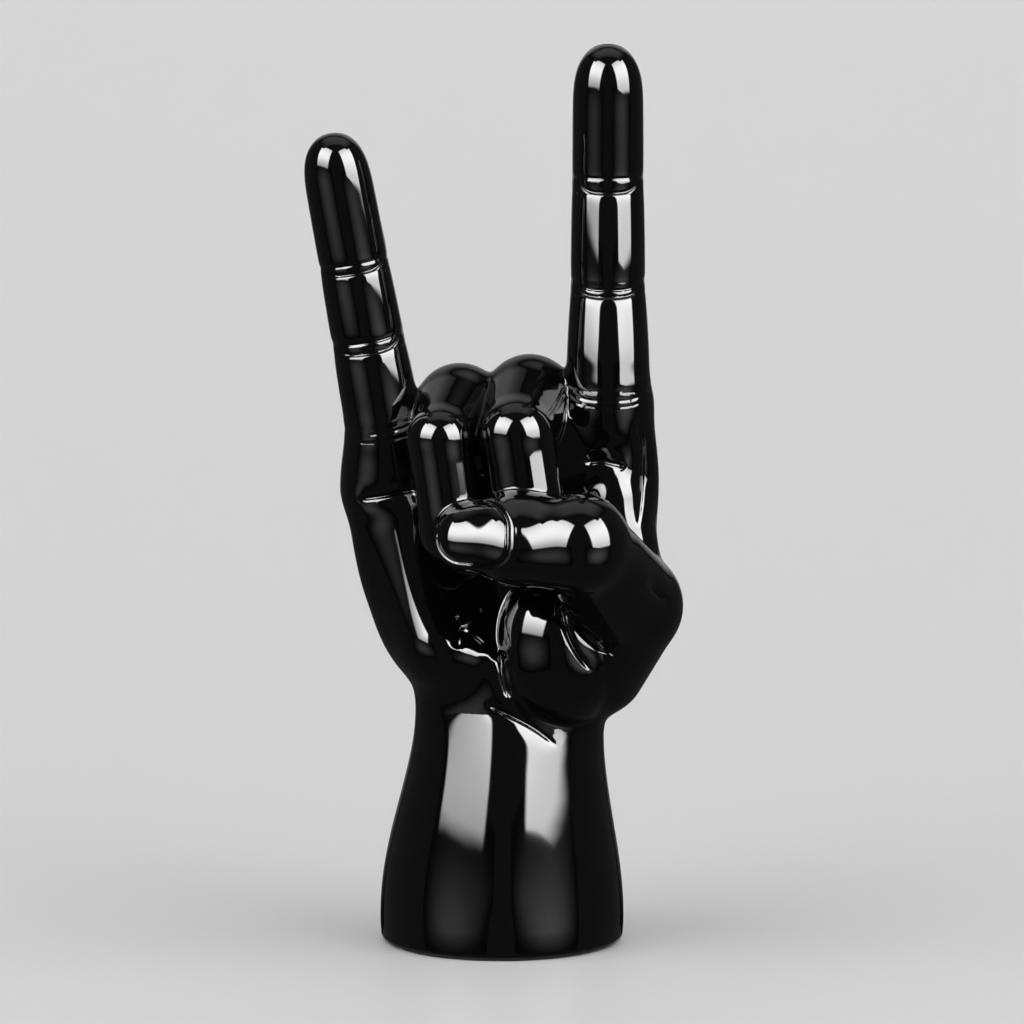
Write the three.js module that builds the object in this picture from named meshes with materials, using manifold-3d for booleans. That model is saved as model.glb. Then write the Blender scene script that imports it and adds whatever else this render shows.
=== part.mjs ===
// A hand sculpture: a glossy black right hand on a flared forearm, 330 mm tall.
// The palm faces -Y, +Z is up, and the index finger stands on the +X side. Index and little
// fingers are raised, and the thumb lies across the curled middle and ring fingers.
// The forearm, palm and knuckles are one hollow casting. Each digit is cast apart and pinned
// to it by a steel dowel, and a board and a felt disc close the foot. Millimetres throughout.

import * as THREE from 'three';
import { mergeVertices } from 'three/addons/utils/BufferGeometryUtils.js';
import Module from 'manifold-3d';

const wasm = await Module();
wasm.setup();

// Fits
const glueLine = 0.3; // film of glue between two parts
const dowelSlack = 0.3; // room round a dowel in its socket
const socketDepthSlack = 0.5; // room past each end of a dowel

// Foot
const padThickness = 1.2;
const padInset = 0.8; // from the widest ring of the foot to the edge of the felt
const plateThickness = 3;
const plateInset = 6.5; // from the widest ring of the foot to the edge of the board
const plateLedge = 4.5; // width of the ledge that the board rests on
const footEdge = 0.6; // the foot draws in by this much at its lower edge

// Forearm
const footWidth = 90.2;
const footDepth = 87.6;
const footHeight = 9; // floor to the widest ring
const wristWidth = 69;
const wristDepth = 54;
const wristHeight = 88; // floor to the wrist
const wristLean = 3; // the wrist stands this far towards the thumb
const wall = 6; // of the hollow casting
const hollowRise = 46; // wrist to the top of the hollow

// Palm
const palmWidth = 112;
const palmThickness = 34;
const palmHeight = 106; // wrist to the finger webs, at the middle of the palm
const palmTopSlope = 0.19; // the webs rise this much towards the index finger
const palmBack = 3; // the middle of the palm lies this far behind the axis
const heelWidth = 76;
const heelHeight = 16; // wrist to the widest of the heel
const webWidth = 99; // across the palm at the web of the thumb
const webHeight = 38; // wrist to the web of the thumb
const palmLap = 12; // the palm's own form starts this far under the wrist
const forearmLap = 24; // and the forearm's ends this far over it
const palmPower = 3; // how square the palm's sections are: 2 would be an ellipse
const palmHollow = { width: 48, depth: 46, height: 72 };
const thumbMound = { width: 50, depth: 46, height: 60 };
const littleHeelRadius = 19;
const littlePadRadius = 17;
const thumbBoneRadius = 18;
const thumbWebRadius = 13.5;
const handBoneRadius = 15;
const indexPadRadius = 15;

// Fillets where one form runs into the next
const hollowFillet = 22;
const wideFillet = 12;
const fillet = 9;
const tightFillet = 6;
const bendFillet = 3;

// Digits: radii at the root and near the tip, and lengths along the finger
const indexRadius = 15.3;
const indexTipRadius = 12.9;
const indexLength = 130;
const littleRadius = 13.9;
const littleTipRadius = 12.2;
const littleLength = 111.4;
const littleSplay = 10.3; // degrees away from the other fingers
const indexLean = 12.6; // the tip of the index finger stands this far behind its root
const littleLean = 0;
const rootSwell = 0.7; // a finger is this much wider inside the palm
const jointSwell = 0.8; // and this much wider at its first joint than near its tip
const middleKnuckleRadius = 16.8;
const middleRadius = 13.6;
const middleEndRadius = 13.8;
const ringKnuckleRadius = 16.5;
const ringRadius = 11.8;
const ringEndRadius = 11.4;
const curlTaper = 2; // the hidden ends of the curled fingers narrow by this much
const thumbBallRadius = 20.5;
const thumbJointRadius = 17;
const thumbRadius = 15.8;
const thumbTipRadius = 12.4;
const tipStretch = 2; // a fingertip is this much longer than a half sphere
const tipPower = 1.7; // how late a fingertip rounds off

// Places, from the axis of the foot: towards the thumb, to the front, and up from the wrist
const littleHeelPlace = { side: -19.5, front: 12, rise: 26 };
const littlePadPlace = { side: -39.5, front: -8, rise: 82 };
const thumbMoundPlace = { side: 21, front: 14, rise: 23 };
const thumbRootPlace = { side: 35, front: 8, rise: 15 };
const thumbBallPlace = { side: 45.4, front: 18, rise: 39 };
const thumbWebPlace = { side: 45, front: 10, rise: 50 };
const palmEdgePlace = { side: 41.5, front: 4, rise: 74 };
const palmHollowPlace = { side: -10, front: 40, rise: 62 };
const middleBonePlace = { side: 4, front: -3, rise: 32 };
const ringBonePlace = { side: -6, front: -3, rise: 32 };

// Places, the last value up from the finger webs
const indexPadPlace = { side: 38, front: -3, rise: -24 };
const indexRootPlace = { side: 38.9, front: 0, rise: 6 };
const littleWebPlace = { side: -44.5, front: 0, rise: -26 };
const littleRootPlace = { side: -42.7, front: 0, rise: -5.5 };
const middleKnucklePlace = { side: 10.2, front: -5, rise: 5.9 };
const middleBendPlace = { side: 5.2, front: 27.5, rise: -4.2 };
const middleLowBendPlace = { side: 10, front: 31.5, rise: -36 };
const middleEndPlace = { side: 11.5, front: 23, rise: -46 };
const ringKnucklePlace = { side: -15.5, front: -5, rise: 2.9 };
const ringBendPlace = { side: -22.4, front: 28, rise: -5.7 };
const ringLowBendPlace = { side: -18, front: 31, rise: -38 };
const ringEndPlace = { side: -12, front: 23, rise: -46 };
const thumbBendPlace = { side: 27.6, front: 54.5, rise: -39.6 };
const thumbNeckPlace = { side: 5, front: 49, rise: -38.4 };
const thumbTipPlace = { side: -11.8, front: 44.5, rise: -38.2 };

// Joints of the digits
const indexJoint = 4; // root to the base crease
const littleJoint = 2.5;
const curledJoint = 14; // knuckle to the joint of a curled finger
const thumbJoint = 18; // ball of the thumb to its joint
const dowelDiameter = 6;
const dowelLength = 36;
const smallDowelDiameter = 5;
const smallDowelLength = 30;

// Nails and creases
const nailRise = 0.7;
const nailSetBack = 15; // fingertip to the middle of its nail
const nailCorner = 6; // radius of a nail's corners
const thumbNail = { width: 20, length: 25.4, setBack: 14.8, rise: 2.3 };
const indexNail = { width: 17, length: 23 };
const littleNail = { width: 15, length: 20 };
const creaseDepth = 1; // on the palm side, running out towards the back
const creaseWidth = 2.4;
const creaseSetBack = 1.3; // a crease ring stands this far behind its finger's middle
const indexCreases = [0.308, 0.596]; // shares of the finger's length, from its root
const littleCreases = [0.278, 0.552];

// Facets
const palmCell = 6;
const digitCell = 4.8;
const hollowCell = 9;
const roundSides = 56;
const dowelSides = 20;
const ringSides = 5;
const ringSteps = 24;
const cornerSteps = 4;

const point = (x, y, z) => new THREE.Vector3(x, y, z);

// Forms. A form tells how far a point lies outside a surface, with less than 0 inside it.

// Joins two forms with a fillet.
function blend(a, b, fillet) {
	return (p) => {
		const inA = a(p);
		const inB = b(p);
		const near = Math.max(fillet - Math.abs(inA - inB), 0) / fillet;
		return Math.min(inA, inB) - (near ** 3 * fillet) / 6;
	};
}

const inverse = (form) => (p) => -form(p);

// What two forms share, with a rounded edge.
const meet = (a, b, edge) => inverse(blend(inverse(a), inverse(b), edge));

// One form less another, with a rounded edge.
const without = (a, b, edge) => meet(a, inverse(b), edge);

const below = (height) => (p) => p.z - height;
const above = (height) => (p) => height - p.z;

// A round limb that tapers evenly from one end to the other.
function limb(from, to, fromRadius, toRadius) {
	const axis = to.clone().sub(from);
	const lengthSq = axis.lengthSq();
	const taper = fromRadius - toRadius;
	const slantSq = lengthSq - taper * taper;
	const arm = new THREE.Vector3();
	const across = new THREE.Vector3();
	return (p) => {
		arm.subVectors(p, from);
		const along = arm.dot(axis);
		const past = along - lengthSq;
		across.copy(arm).multiplyScalar(lengthSq).addScaledVector(axis, -along);
		const acrossSq = across.lengthSq();
		const alongSq = along * along * lengthSq;
		const pastSq = past * past * lengthSq;
		const cone = Math.sign(taper) * taper * taper * acrossSq;
		if (Math.sign(past) * slantSq * pastSq > cone) {
			return Math.sqrt(acrossSq + pastSq) / lengthSq - toRadius;
		}
		if (Math.sign(along) * slantSq * alongSq < cone) {
			return Math.sqrt(acrossSq + alongSq) / lengthSq - fromRadius;
		}
		return (Math.sqrt((acrossSq * slantSq) / lengthSq) + along * taper) / lengthSq - fromRadius;
	};
}

// An ellipsoid with its axes along X, Y and Z.
function egg(centre, radii) {
	const arm = new THREE.Vector3();
	return (p) => {
		const scaled = arm.subVectors(p, centre).divide(radii).length();
		const slope = arm.divide(radii).length();
		return (scaled * (scaled - 1)) / Math.max(slope, 1e-9);
	};
}

// A column of oval sections. Power 2 gives ellipses, and more gives flatter sides.
function column(sectionAt, power) {
	return (p) => {
		const { x, y, halfWidth, halfDepth } = sectionAt(p.z);
		const across = Math.abs(p.x - x) / halfWidth;
		const deep = Math.abs(p.y - y) / halfDepth;
		const scaled = (across ** power + deep ** power) ** (1 / power);
		const slope = Math.hypot(across ** (power - 1) / halfWidth, deep ** (power - 1) / halfDepth);
		const steepness = slope / Math.max(scaled, 1e-6) ** (power - 1);
		return Math.max((scaled - 1) / Math.max(steepness, 1e-6), -Math.min(halfWidth, halfDepth));
	};
}

// How far behind its root a finger's middle line runs at a share of its length.
const leanShares = [-0.08, 0.03, 0.31, 0.6, 0.77, 1];
const leanSteps = new THREE.CubicInterpolant(leanShares, [0, 0.03, 0.48, 0.87, 0.97, 1], 1);
const leanAt = (share) => leanSteps.evaluate(THREE.MathUtils.clamp(share, leanShares[0], 1))[0];

// A raised finger with a long round tip. It narrows from its root to its tip in slow steps,
// which are placed by shares of its length.
function straightFinger({ root, along, length, lean }, rootRadius, tipRadius) {
	const radii = [
		[-0.16, rootRadius + rootSwell],
		[0.02, rootRadius],
		[0.15, rootRadius - rootSwell / 2],
		[0.31, tipRadius + jointSwell],
		[0.47, tipRadius + 0.6 * jointSwell],
		[0.68, tipRadius + 0.3 * jointSwell],
		[0.88, tipRadius],
	];
	const radiusAt = new THREE.CubicInterpolant(
		radii.map(([share]) => share * length),
		radii.map(([, radius]) => radius),
		1,
	);
	const tipStart = length - tipRadius * tipStretch;
	const arm = new THREE.Vector3();
	return (p) => {
		arm.subVectors(p, root);
		const reach = arm.dot(along);
		arm.addScaledVector(along, -reach);
		arm.y -= lean * leanAt(reach / length);
		const overTip = Math.max(reach - tipStart, 0) / (length - tipStart);
		const underRoot = Math.min(reach, 0);
		return Math.hypot(arm.length(), tipRadius * overTip ** tipPower, underRoot) - radiusAt.evaluate(reach)[0];
	};
}

// Meshing

// The way out of a form at a point.
function slopeOf(form, p, slope) {
	const step = 0.05;
	for (const axis of ['x', 'y', 'z']) {
		const kept = p[axis];
		p[axis] = kept + step;
		const ahead = form(p);
		p[axis] = kept - step;
		slope[axis] = (ahead - form(p)) / (2 * step);
		p[axis] = kept;
	}
	return slope;
}

// A cell's corners are numbered by their steps along X, Y and Z, worth 1, 2 and 4. Each edge
// runs from a corner along an axis.
const corners = [0, 1, 2, 3, 4, 5, 6, 7].map((n) => [n & 1, (n >> 1) & 1, (n >> 2) & 1]);
const cellEdges = corners.flatMap((steps, from) =>
	steps.flatMap((step, axis) => (step === 0 ? [{ from, to: from + (1 << axis), axis }] : [])),
);
const cellSides = [0, 1, 2].flatMap((axis) =>
	[0, 1].map((side) => {
		const touches = (corner) => corners[corner][axis] === side;
		return {
			corners: [0, 1, 2, 3, 4, 5, 6, 7].filter(touches),
			edges: cellEdges.filter(({ from, to }) => touches(from) && touches(to)),
		};
	}),
);

// The edges of a cell that the surface cuts, in one group for each sheet of surface in the
// cell. Where a side has two inner corners across from each other, the sheets pass between.
function sheetsIn(inside) {
	const cut = ({ from, to }) => inside[from] !== inside[to];
	let sheets = cellEdges.filter(cut).map((edge) => [edge]);
	const join = (edge, other) => {
		const first = sheets.find((sheet) => sheet.includes(edge));
		const second = sheets.find((sheet) => sheet.includes(other));
		if (first === second) return;
		first.push(...second);
		sheets = sheets.filter((sheet) => sheet !== second);
	};
	for (const side of cellSides) {
		const cutHere = side.edges.filter(cut);
		if (cutHere.length === 2) join(...cutHere);
		if (cutHere.length < 4) continue;
		for (const corner of side.corners.filter((n) => inside[n])) {
			join(...cutHere.filter(({ from, to }) => from === corner || to === corner));
		}
	}
	return sheets;
}

// The closed skin of a form: one vertex for each sheet of surface in a cell, and one four-sided
// face round each grid edge that the surface cuts.
function skinOf(form, box, cell) {
	const low = box.min;
	const counts = box.getSize(point(0, 0, 0)).divideScalar(cell).toArray().map((n) => Math.ceil(n) + 1);
	const strides = [1, counts[0], counts[0] * counts[1]];
	const cornerSteps = corners.map(([a, b, c]) => a + b * strides[1] + c * strides[2]);
	const values = new Float64Array(counts[0] * counts[1] * counts[2]);
	const p = new THREE.Vector3();
	for (let k = 0, n = 0; k < counts[2]; k++) {
		for (let j = 0; j < counts[1]; j++) {
			for (let i = 0; i < counts[0]; i++, n++) {
				values[n] = form(p.set(i, j, k).multiplyScalar(cell).add(low));
			}
		}
	}

	const vertices = [];
	const vertexAt = new Map();
	const keyOf = (first, from, axis) => (first * 8 + from) * 3 + axis;
	for (let k = 0; k < counts[2] - 1; k++) {
		for (let j = 0; j < counts[1] - 1; j++) {
			for (let i = 0; i < counts[0] - 1; i++) {
				const first = i + j * strides[1] + k * strides[2];
				const at = cornerSteps.map((step) => values[first + step]);
				for (const sheet of sheetsIn(at.map((value) => value < 0))) {
					const middle = new THREE.Vector3();
					for (const { from, to, axis } of sheet) {
						const share = at[from] / (at[from] - at[to]);
						middle.add(new THREE.Vector3(...corners[from]));
						middle.setComponent(axis, middle.getComponent(axis) + share);
						vertexAt.set(keyOf(first, from, axis), vertices.length);
					}
					middle.divideScalar(sheet.length).add(p.set(i, j, k)).multiplyScalar(cell).add(low);
					vertices.push(middle);
				}
			}
		}
	}

	const faces = [];
	for (let n = 0; n < values.length; n++) {
		for (let axis = 0; axis < 3; axis++) {
			const next = n + strides[axis];
			if (next >= values.length || values[n] < 0 === values[next] < 0) continue;
			const b = (axis + 1) % 3;
			const c = (axis + 2) % 3;
			const round = [(1 << b) + (1 << c), 1 << c, 0, 1 << b];
			const face = round.map((corner) => vertexAt.get(keyOf(n - cornerSteps[corner], corner, axis)));
			faces.push(values[n] < 0 ? face : face.reverse());
		}
	}
	settle(vertices, faces, form);
	return { form, vertices, faces };
}

// Evens a skin out: each vertex slides to the middle of its neighbours, along the surface.
function settle(vertices, faces, form) {
	const rounds = 3;
	const neighbours = vertices.map(() => []);
	for (const face of faces) {
		face.forEach((n, i) => neighbours[n].push(vertices[face[(i + 1) % 4]]));
	}
	const slope = new THREE.Vector3();
	const slide = new THREE.Vector3();
	for (let round = 0; round < rounds; round++) {
		vertices.forEach((vertex, n) => {
			slide.set(0, 0, 0);
			for (const other of neighbours[n]) slide.add(other);
			slide.divideScalar(neighbours[n].length).sub(vertex);
			slopeOf(form, vertex, slope).normalize();
			vertex.add(slide.addScaledVector(slope, -slide.dot(slope)));
			seat(vertex, form, slope);
			seat(vertex, form, slope);
		});
	}
}

// Moves a vertex on to the surface of a form.
function seat(vertex, form, slope) {
	const longest = 1.5;
	slopeOf(form, vertex, slope);
	const steep = Math.max(slope.lengthSq(), 0.05);
	vertex.addScaledVector(slope, THREE.MathUtils.clamp(-form(vertex) / steep, -longest, longest));
}

// The same skin pushed out by a distance.
function grown(skin, distance) {
	const slope = new THREE.Vector3();
	const vertices = skin.vertices.map((vertex) =>
		vertex.clone().addScaledVector(slopeOf(skin.form, vertex, slope).normalize(), distance),
	);
	return { ...skin, vertices };
}

// Solids

// A skin as a solid, each face split along its shorter diagonal.
function solidOfSkin({ vertices, faces }) {
	const triangles = faces.flatMap(([a, b, c, d]) => {
		const first = vertices[a].distanceToSquared(vertices[c]);
		const second = vertices[b].distanceToSquared(vertices[d]);
		return first < second ? [a, b, c, a, c, d] : [a, b, d, b, c, d];
	});
	const mesh = new wasm.Mesh({
		numProp: 3,
		vertProperties: new Float32Array(vertices.flatMap((vertex) => vertex.toArray())),
		triVerts: new Uint32Array(triangles),
	});
	return new wasm.Manifold(mesh);
}

function solidOfGeometry(geometry) {
	geometry.deleteAttribute('normal');
	geometry.deleteAttribute('uv');
	const merged = mergeVertices(geometry, 1e-4);
	const mesh = new wasm.Mesh({
		numProp: 3,
		vertProperties: merged.attributes.position.array,
		triVerts: new Uint32Array(merged.index.array),
	});
	return new wasm.Manifold(mesh);
}

function geometryOf(solid) {
	const { vertProperties, triVerts } = solid.getMesh();
	const geometry = new THREE.BufferGeometry();
	geometry.setAttribute('position', new THREE.BufferAttribute(vertProperties, 3));
	geometry.setIndex(new THREE.BufferAttribute(triVerts, 1));
	const faceted = geometry.toNonIndexed();
	faceted.computeVertexNormals();
	return faceted;
}

// A round bar with its middle at a point, lying along a direction.
function bar(middle, along, radius, length, sides) {
	const geometry = new THREE.CylinderGeometry(radius, radius, length, sides);
	geometry.applyQuaternion(new THREE.Quaternion().setFromUnitVectors(point(0, 1, 0), along));
	return geometry.translate(middle.x, middle.y, middle.z);
}

// A disc that lies flat from one height to another.
function disc(radius, bottom, top) {
	return bar(point(0, 0, (bottom + top) / 2), point(0, 0, 1), radius, top - bottom, roundSides);
}

// Everything past a plane that stands across a direction, as far as the longest digit reaches.
function pastPlane(at, along) {
	const reach = 2 * (palmHeight + indexLength);
	const geometry = new THREE.BoxGeometry(reach, reach, reach);
	geometry.applyQuaternion(new THREE.Quaternion().setFromUnitVectors(point(0, 0, 1), along));
	const middle = at.clone().addScaledVector(along, reach / 2);
	return solidOfGeometry(geometry.translate(middle.x, middle.y, middle.z));
}

// Where the digits run

const webLevel = wristHeight + palmHeight;
const overWrist = ({ side, front, rise }) => point(side, -front, wristHeight + rise);
const overWebs = ({ side, front, rise }) => point(side, -front, webLevel + rise);

const upright = point(0, 0, 1);
const backwards = point(0, 1, 0);
const indexRoot = overWebs(indexRootPlace);
const littleRoot = overWebs(littleRootPlace);
const littleAlong = upright.clone().applyAxisAngle(point(0, -1, 0), THREE.MathUtils.degToRad(littleSplay));
const indexLine = { root: indexRoot, along: upright, length: indexLength, lean: indexLean };
const littleLine = { root: littleRoot, along: littleAlong, length: littleLength, lean: littleLean };
const middleKnuckle = overWebs(middleKnucklePlace);
const middleBend = overWebs(middleBendPlace);
const middleLowBend = overWebs(middleLowBendPlace);
const middleEnd = overWebs(middleEndPlace);
const ringKnuckle = overWebs(ringKnucklePlace);
const ringBend = overWebs(ringBendPlace);
const ringLowBend = overWebs(ringLowBendPlace);
const ringEnd = overWebs(ringEndPlace);
const thumbBall = overWrist(thumbBallPlace);
const thumbBend = overWebs(thumbBendPlace);
const thumbNeck = overWebs(thumbNeckPlace);
const thumbTip = overWebs(thumbTipPlace);

// Where each digit is joined to the casting
const partWay = (from, to, distance) => {
	const along = to.clone().sub(from).normalize();
	return { at: from.clone().addScaledVector(along, distance), along };
};
const joints = {
	thumb: partWay(thumbBall, thumbBend, thumbJoint),
	middle: partWay(middleKnuckle, middleBend, curledJoint),
	ring: partWay(ringKnuckle, ringBend, curledJoint),
	index: { at: indexRoot.clone().addScaledVector(upright, indexJoint), along: upright },
	little: { at: littleRoot.clone().addScaledVector(littleAlong, littleJoint), along: littleAlong },
};

// Sizes that follow from those above
const padRadius = footDepth / 2 - padInset;
const plateRadius = footDepth / 2 - plateInset;
const castingBottom = padThickness + glueLine;
const hollowTop = wristHeight + hollowRise;
const radiusPartWay = (from, to, fromRadius, toRadius, distance) =>
	THREE.MathUtils.lerp(fromRadius, toRadius, distance / from.distanceTo(to));
const middleStubRadius = radiusPartWay(
	middleKnuckle, middleBend, middleKnuckleRadius, middleRadius, curledJoint,
);
const ringStubRadius = radiusPartWay(ringKnuckle, ringBend, ringKnuckleRadius, ringRadius, curledJoint);
const thumbStubRadius = radiusPartWay(
	thumbBall, thumbBend, thumbBallRadius, thumbJointRadius, thumbJoint,
);

// Forms of the palm and forearm

const forearmSection = (z) => {
	const climb = THREE.MathUtils.clamp((z - footHeight) / (wristHeight - footHeight), 0, 1);
	const flare = Math.cos((climb * Math.PI) / 2) ** 2;
	const frontFlare = 1 - climb ** 1.4;
	const inset = footEdge * THREE.MathUtils.clamp(1 - z / footHeight, 0, 1) ** 2;
	return {
		x: wristLean * (1 - flare) * climb,
		y: 0,
		halfWidth: THREE.MathUtils.lerp(wristWidth, footWidth, flare) / 2 - inset,
		halfDepth: THREE.MathUtils.lerp(wristDepth, footDepth, frontFlare) / 2 - inset,
	};
};

// Sections of the palm above the wrist: height, shift to the side, width and thickness.
const palmSections = [
	[-palmLap, wristLean, wristWidth * 0.85, palmThickness * 1.12],
	[heelHeight / 2, wristLean, heelWidth * 0.93, palmThickness * 1.24],
	[heelHeight, 0, heelWidth * 1.04, palmThickness * 1.26],
	[webHeight, 0, webWidth, palmThickness * 1.18],
	[palmHeight * 0.77, wristLean / 4, palmWidth * 1.015, palmThickness],
	[palmHeight * 1.11, -wristLean / 2, palmWidth * 0.965, palmThickness * 0.94],
];
const palmSectionAt = new THREE.CubicInterpolant(
	palmSections.map(([height]) => wristHeight + height),
	palmSections.flatMap(([, shift, width, thickness]) => [shift, width, thickness]),
	3,
);
const palmSection = (z) => {
	const [shift, width, thickness] = palmSectionAt.evaluate(z);
	return { x: shift, y: palmBack, halfWidth: width / 2, halfDepth: thickness / 2 };
};

function forearmAndPalm() {
	const forearm = meet(column(forearmSection, 2), below(wristHeight + forearmLap), wideFillet);
	const webs = (p) => p.z - webLevel - palmTopSlope * p.x;
	const slab = meet(column(palmSection, palmPower), webs, wideFillet);
	return blend(forearm, meet(slab, above(wristHeight - palmLap), fillet), fillet);
}

const eggOf = (place, { width, depth, height }) =>
	egg(overWrist(place), point(width / 2, depth / 2, height / 2));

// A stub of each digit belongs to the casting, as far as the joint.
function castingForm() {
	const littleHeel = limb(
		overWrist(littleHeelPlace), overWrist(littlePadPlace), littleHeelRadius, littlePadRadius,
	);
	const thumbWeb = limb(
		overWrist(palmEdgePlace), overWrist(thumbWebPlace), thumbWebRadius, thumbWebRadius,
	);
	const added = [
		[littleHeel, wideFillet],
		[limb(overWrist(thumbRootPlace), thumbBall, thumbBoneRadius, thumbBallRadius), wideFillet],
		[thumbWeb, tightFillet],
		[limb(overWebs(indexPadPlace), joints.index.at, indexPadRadius, indexRadius), fillet],
		[limb(overWebs(littleWebPlace), joints.little.at, littleRadius, littleRadius), fillet],
		[limb(overWrist(middleBonePlace), middleKnuckle, handBoneRadius, middleKnuckleRadius), tightFillet],
		[limb(overWrist(ringBonePlace), ringKnuckle, handBoneRadius, ringKnuckleRadius), tightFillet],
	];
	const stubs = [
		[eggOf(thumbMoundPlace, thumbMound), bendFillet],
		[limb(middleKnuckle, joints.middle.at, middleKnuckleRadius, middleStubRadius), bendFillet],
		[limb(ringKnuckle, joints.ring.at, ringKnuckleRadius, ringStubRadius), bendFillet],
		[limb(thumbBall, joints.thumb.at, thumbBallRadius, thumbStubRadius), bendFillet],
	];
	let form = forearmAndPalm();
	for (const [other, round] of added) form = blend(form, other, round);
	form = without(form, eggOf(palmHollowPlace, palmHollow), hollowFillet);
	for (const [stub, round] of stubs) form = blend(form, stub, round);
	return meet(form, above(castingBottom - palmCell), 1);
}

// The hollow follows the outside at the thickness of the wall, and leaves the ledge at the foot.
function hollowForm(ledgeRadius, thumbPin) {
	const outside = forearmAndPalm();
	const inside = (p) => outside(p) + wall;
	const bore = (p) => Math.hypot(p.x, p.y) - ledgeRadius;
	const pinBoss = (p) => thumbPin(p) - wall;
	return without(meet(meet(inside, below(hollowTop), fillet), bore, tightFillet), pinBoss, bendFillet);
}

// Forms of the digits

function curledFinger(knuckle, bend, lowBend, end, knuckleRadius, bendRadius, endRadius) {
	const first = limb(knuckle, bend, knuckleRadius, bendRadius);
	const second = limb(bend, lowBend, bendRadius, endRadius);
	const last = limb(lowBend, end, endRadius, endRadius - curlTaper);
	return blend(blend(first, second, bendFillet), last, bendFillet);
}

function thumbForm() {
	const first = limb(thumbBall, thumbBend, thumbBallRadius, thumbJointRadius);
	const second = limb(thumbBend, thumbNeck, thumbJointRadius, thumbRadius);
	const last = limb(thumbNeck, thumbTip, thumbRadius, thumbTipRadius);
	return blend(blend(first, second, tightFillet), last, tightFillet);
}

// A box that holds a form whose middle line runs through some points.
const boxRound = (...points) =>
	new THREE.Box3().setFromPoints(points).expandByScalar(1.4 * thumbJointRadius);

// The middle of a raised finger at a share of its length.
const upFinger = ({ root, along, length, lean }, share) =>
	root.clone().addScaledVector(along, share * length).addScaledVector(backwards, lean * leanAt(share));
const nailShare = ({ length }) => 1 - nailSetBack / length;

// The digits in the order in which they give way: each is cut back by those above it.
const digits = [
	{
		name: 'thumb',
		form: thumbForm(),
		box: boxRound(thumbBall, thumbBend, thumbTip),
		joint: joints.thumb,
		dowel: [dowelDiameter, dowelLength],
		nail: {
			...thumbNail,
			at: point(
				thumbTip.x + thumbNail.setBack - thumbTipRadius,
				thumbTip.y,
				thumbTip.z + thumbNail.rise,
			),
			along: point(-1, 0, -0.06),
			facing: point(0, -1, 0.06),
		},
		creases: [],
	},
	{
		name: 'middle_finger',
		form: curledFinger(
			middleKnuckle, middleBend, middleLowBend, middleEnd,
			middleKnuckleRadius, middleRadius, middleEndRadius,
		),
		box: boxRound(middleKnuckle, middleBend, middleEnd),
		joint: joints.middle,
		dowel: [dowelDiameter, dowelLength],
		creases: [],
	},
	{
		name: 'ring_finger',
		form: curledFinger(
			ringKnuckle, ringBend, ringLowBend, ringEnd,
			ringKnuckleRadius, ringRadius, ringEndRadius,
		),
		box: boxRound(ringKnuckle, ringBend, ringEnd),
		joint: joints.ring,
		dowel: [smallDowelDiameter, smallDowelLength],
		creases: [],
	},
	{
		name: 'index_finger',
		form: straightFinger(indexLine, indexRadius, indexTipRadius),
		box: boxRound(indexRoot, upFinger(indexLine, 1)),
		joint: joints.index,
		dowel: [dowelDiameter, dowelLength],
		nail: {
			...indexNail,
			at: upFinger(indexLine, nailShare(indexLine)),
			along: upright,
			facing: backwards,
		},
		creases: indexCreases.map((share) => upFinger(indexLine, share)),
	},
	{
		name: 'little_finger',
		form: straightFinger(littleLine, littleRadius, littleTipRadius),
		box: boxRound(littleRoot, upFinger(littleLine, 1)),
		joint: joints.little,
		dowel: [smallDowelDiameter, smallDowelLength],
		nail: {
			...littleNail,
			at: upFinger(littleLine, nailShare(littleLine)),
			along: littleAlong,
			facing: backwards,
		},
		creases: littleCreases.map((share) => upFinger(littleLine, share)),
	},
];

// Parts

const lacquer = { color: 0x060607, roughness: 0.07, metalness: 0 };
const steel = { color: 0xb4b6b8, roughness: 0.35, metalness: 1 };
const board = { color: 0x6e5238, roughness: 0.85, metalness: 0 };
const felt = { color: 0x17171a, roughness: 1, metalness: 0 };

const sculpture = new THREE.Group();

function addPart(name, geometry, finish) {
	const part = new THREE.Mesh(geometry, new THREE.MeshStandardMaterial(finish));
	part.name = name;
	sculpture.add(part);
}

// A socket is longer and wider than its dowel by the slack.
const socketOf = ({ joint, dowel: [diameter, length] }) =>
	solidOfGeometry(
		bar(joint.at, joint.along, diameter / 2 + dowelSlack, length + 2 * socketDepthSlack, dowelSides),
	);

// The outline of a nail, pulled through the digit from its middle outwards.
function nailPrism({ at, along, facing, width, length }) {
	const side = width / 2 - nailCorner;
	const end = length / 2 - nailCorner;
	const outline = new THREE.Shape();
	outline.absarc(side, end, nailCorner, 0, Math.PI / 2);
	outline.absarc(-side, end, nailCorner, Math.PI / 2, Math.PI);
	outline.absarc(-side, -end, nailCorner, Math.PI, 1.5 * Math.PI);
	outline.absarc(side, -end, nailCorner, 1.5 * Math.PI, 2 * Math.PI);
	const depth = 2 * width; // well past the skin
	const flat = { depth, bevelEnabled: false, curveSegments: cornerSteps };
	const geometry = new THREE.ExtrudeGeometry(outline, flat);
	const out = facing.clone().normalize();
	const across = new THREE.Vector3().crossVectors(along, out).normalize();
	const up = new THREE.Vector3().crossVectors(out, across);
	geometry.applyMatrix4(new THREE.Matrix4().makeBasis(across, up, out).setPosition(at));
	return solidOfGeometry(geometry);
}

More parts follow.
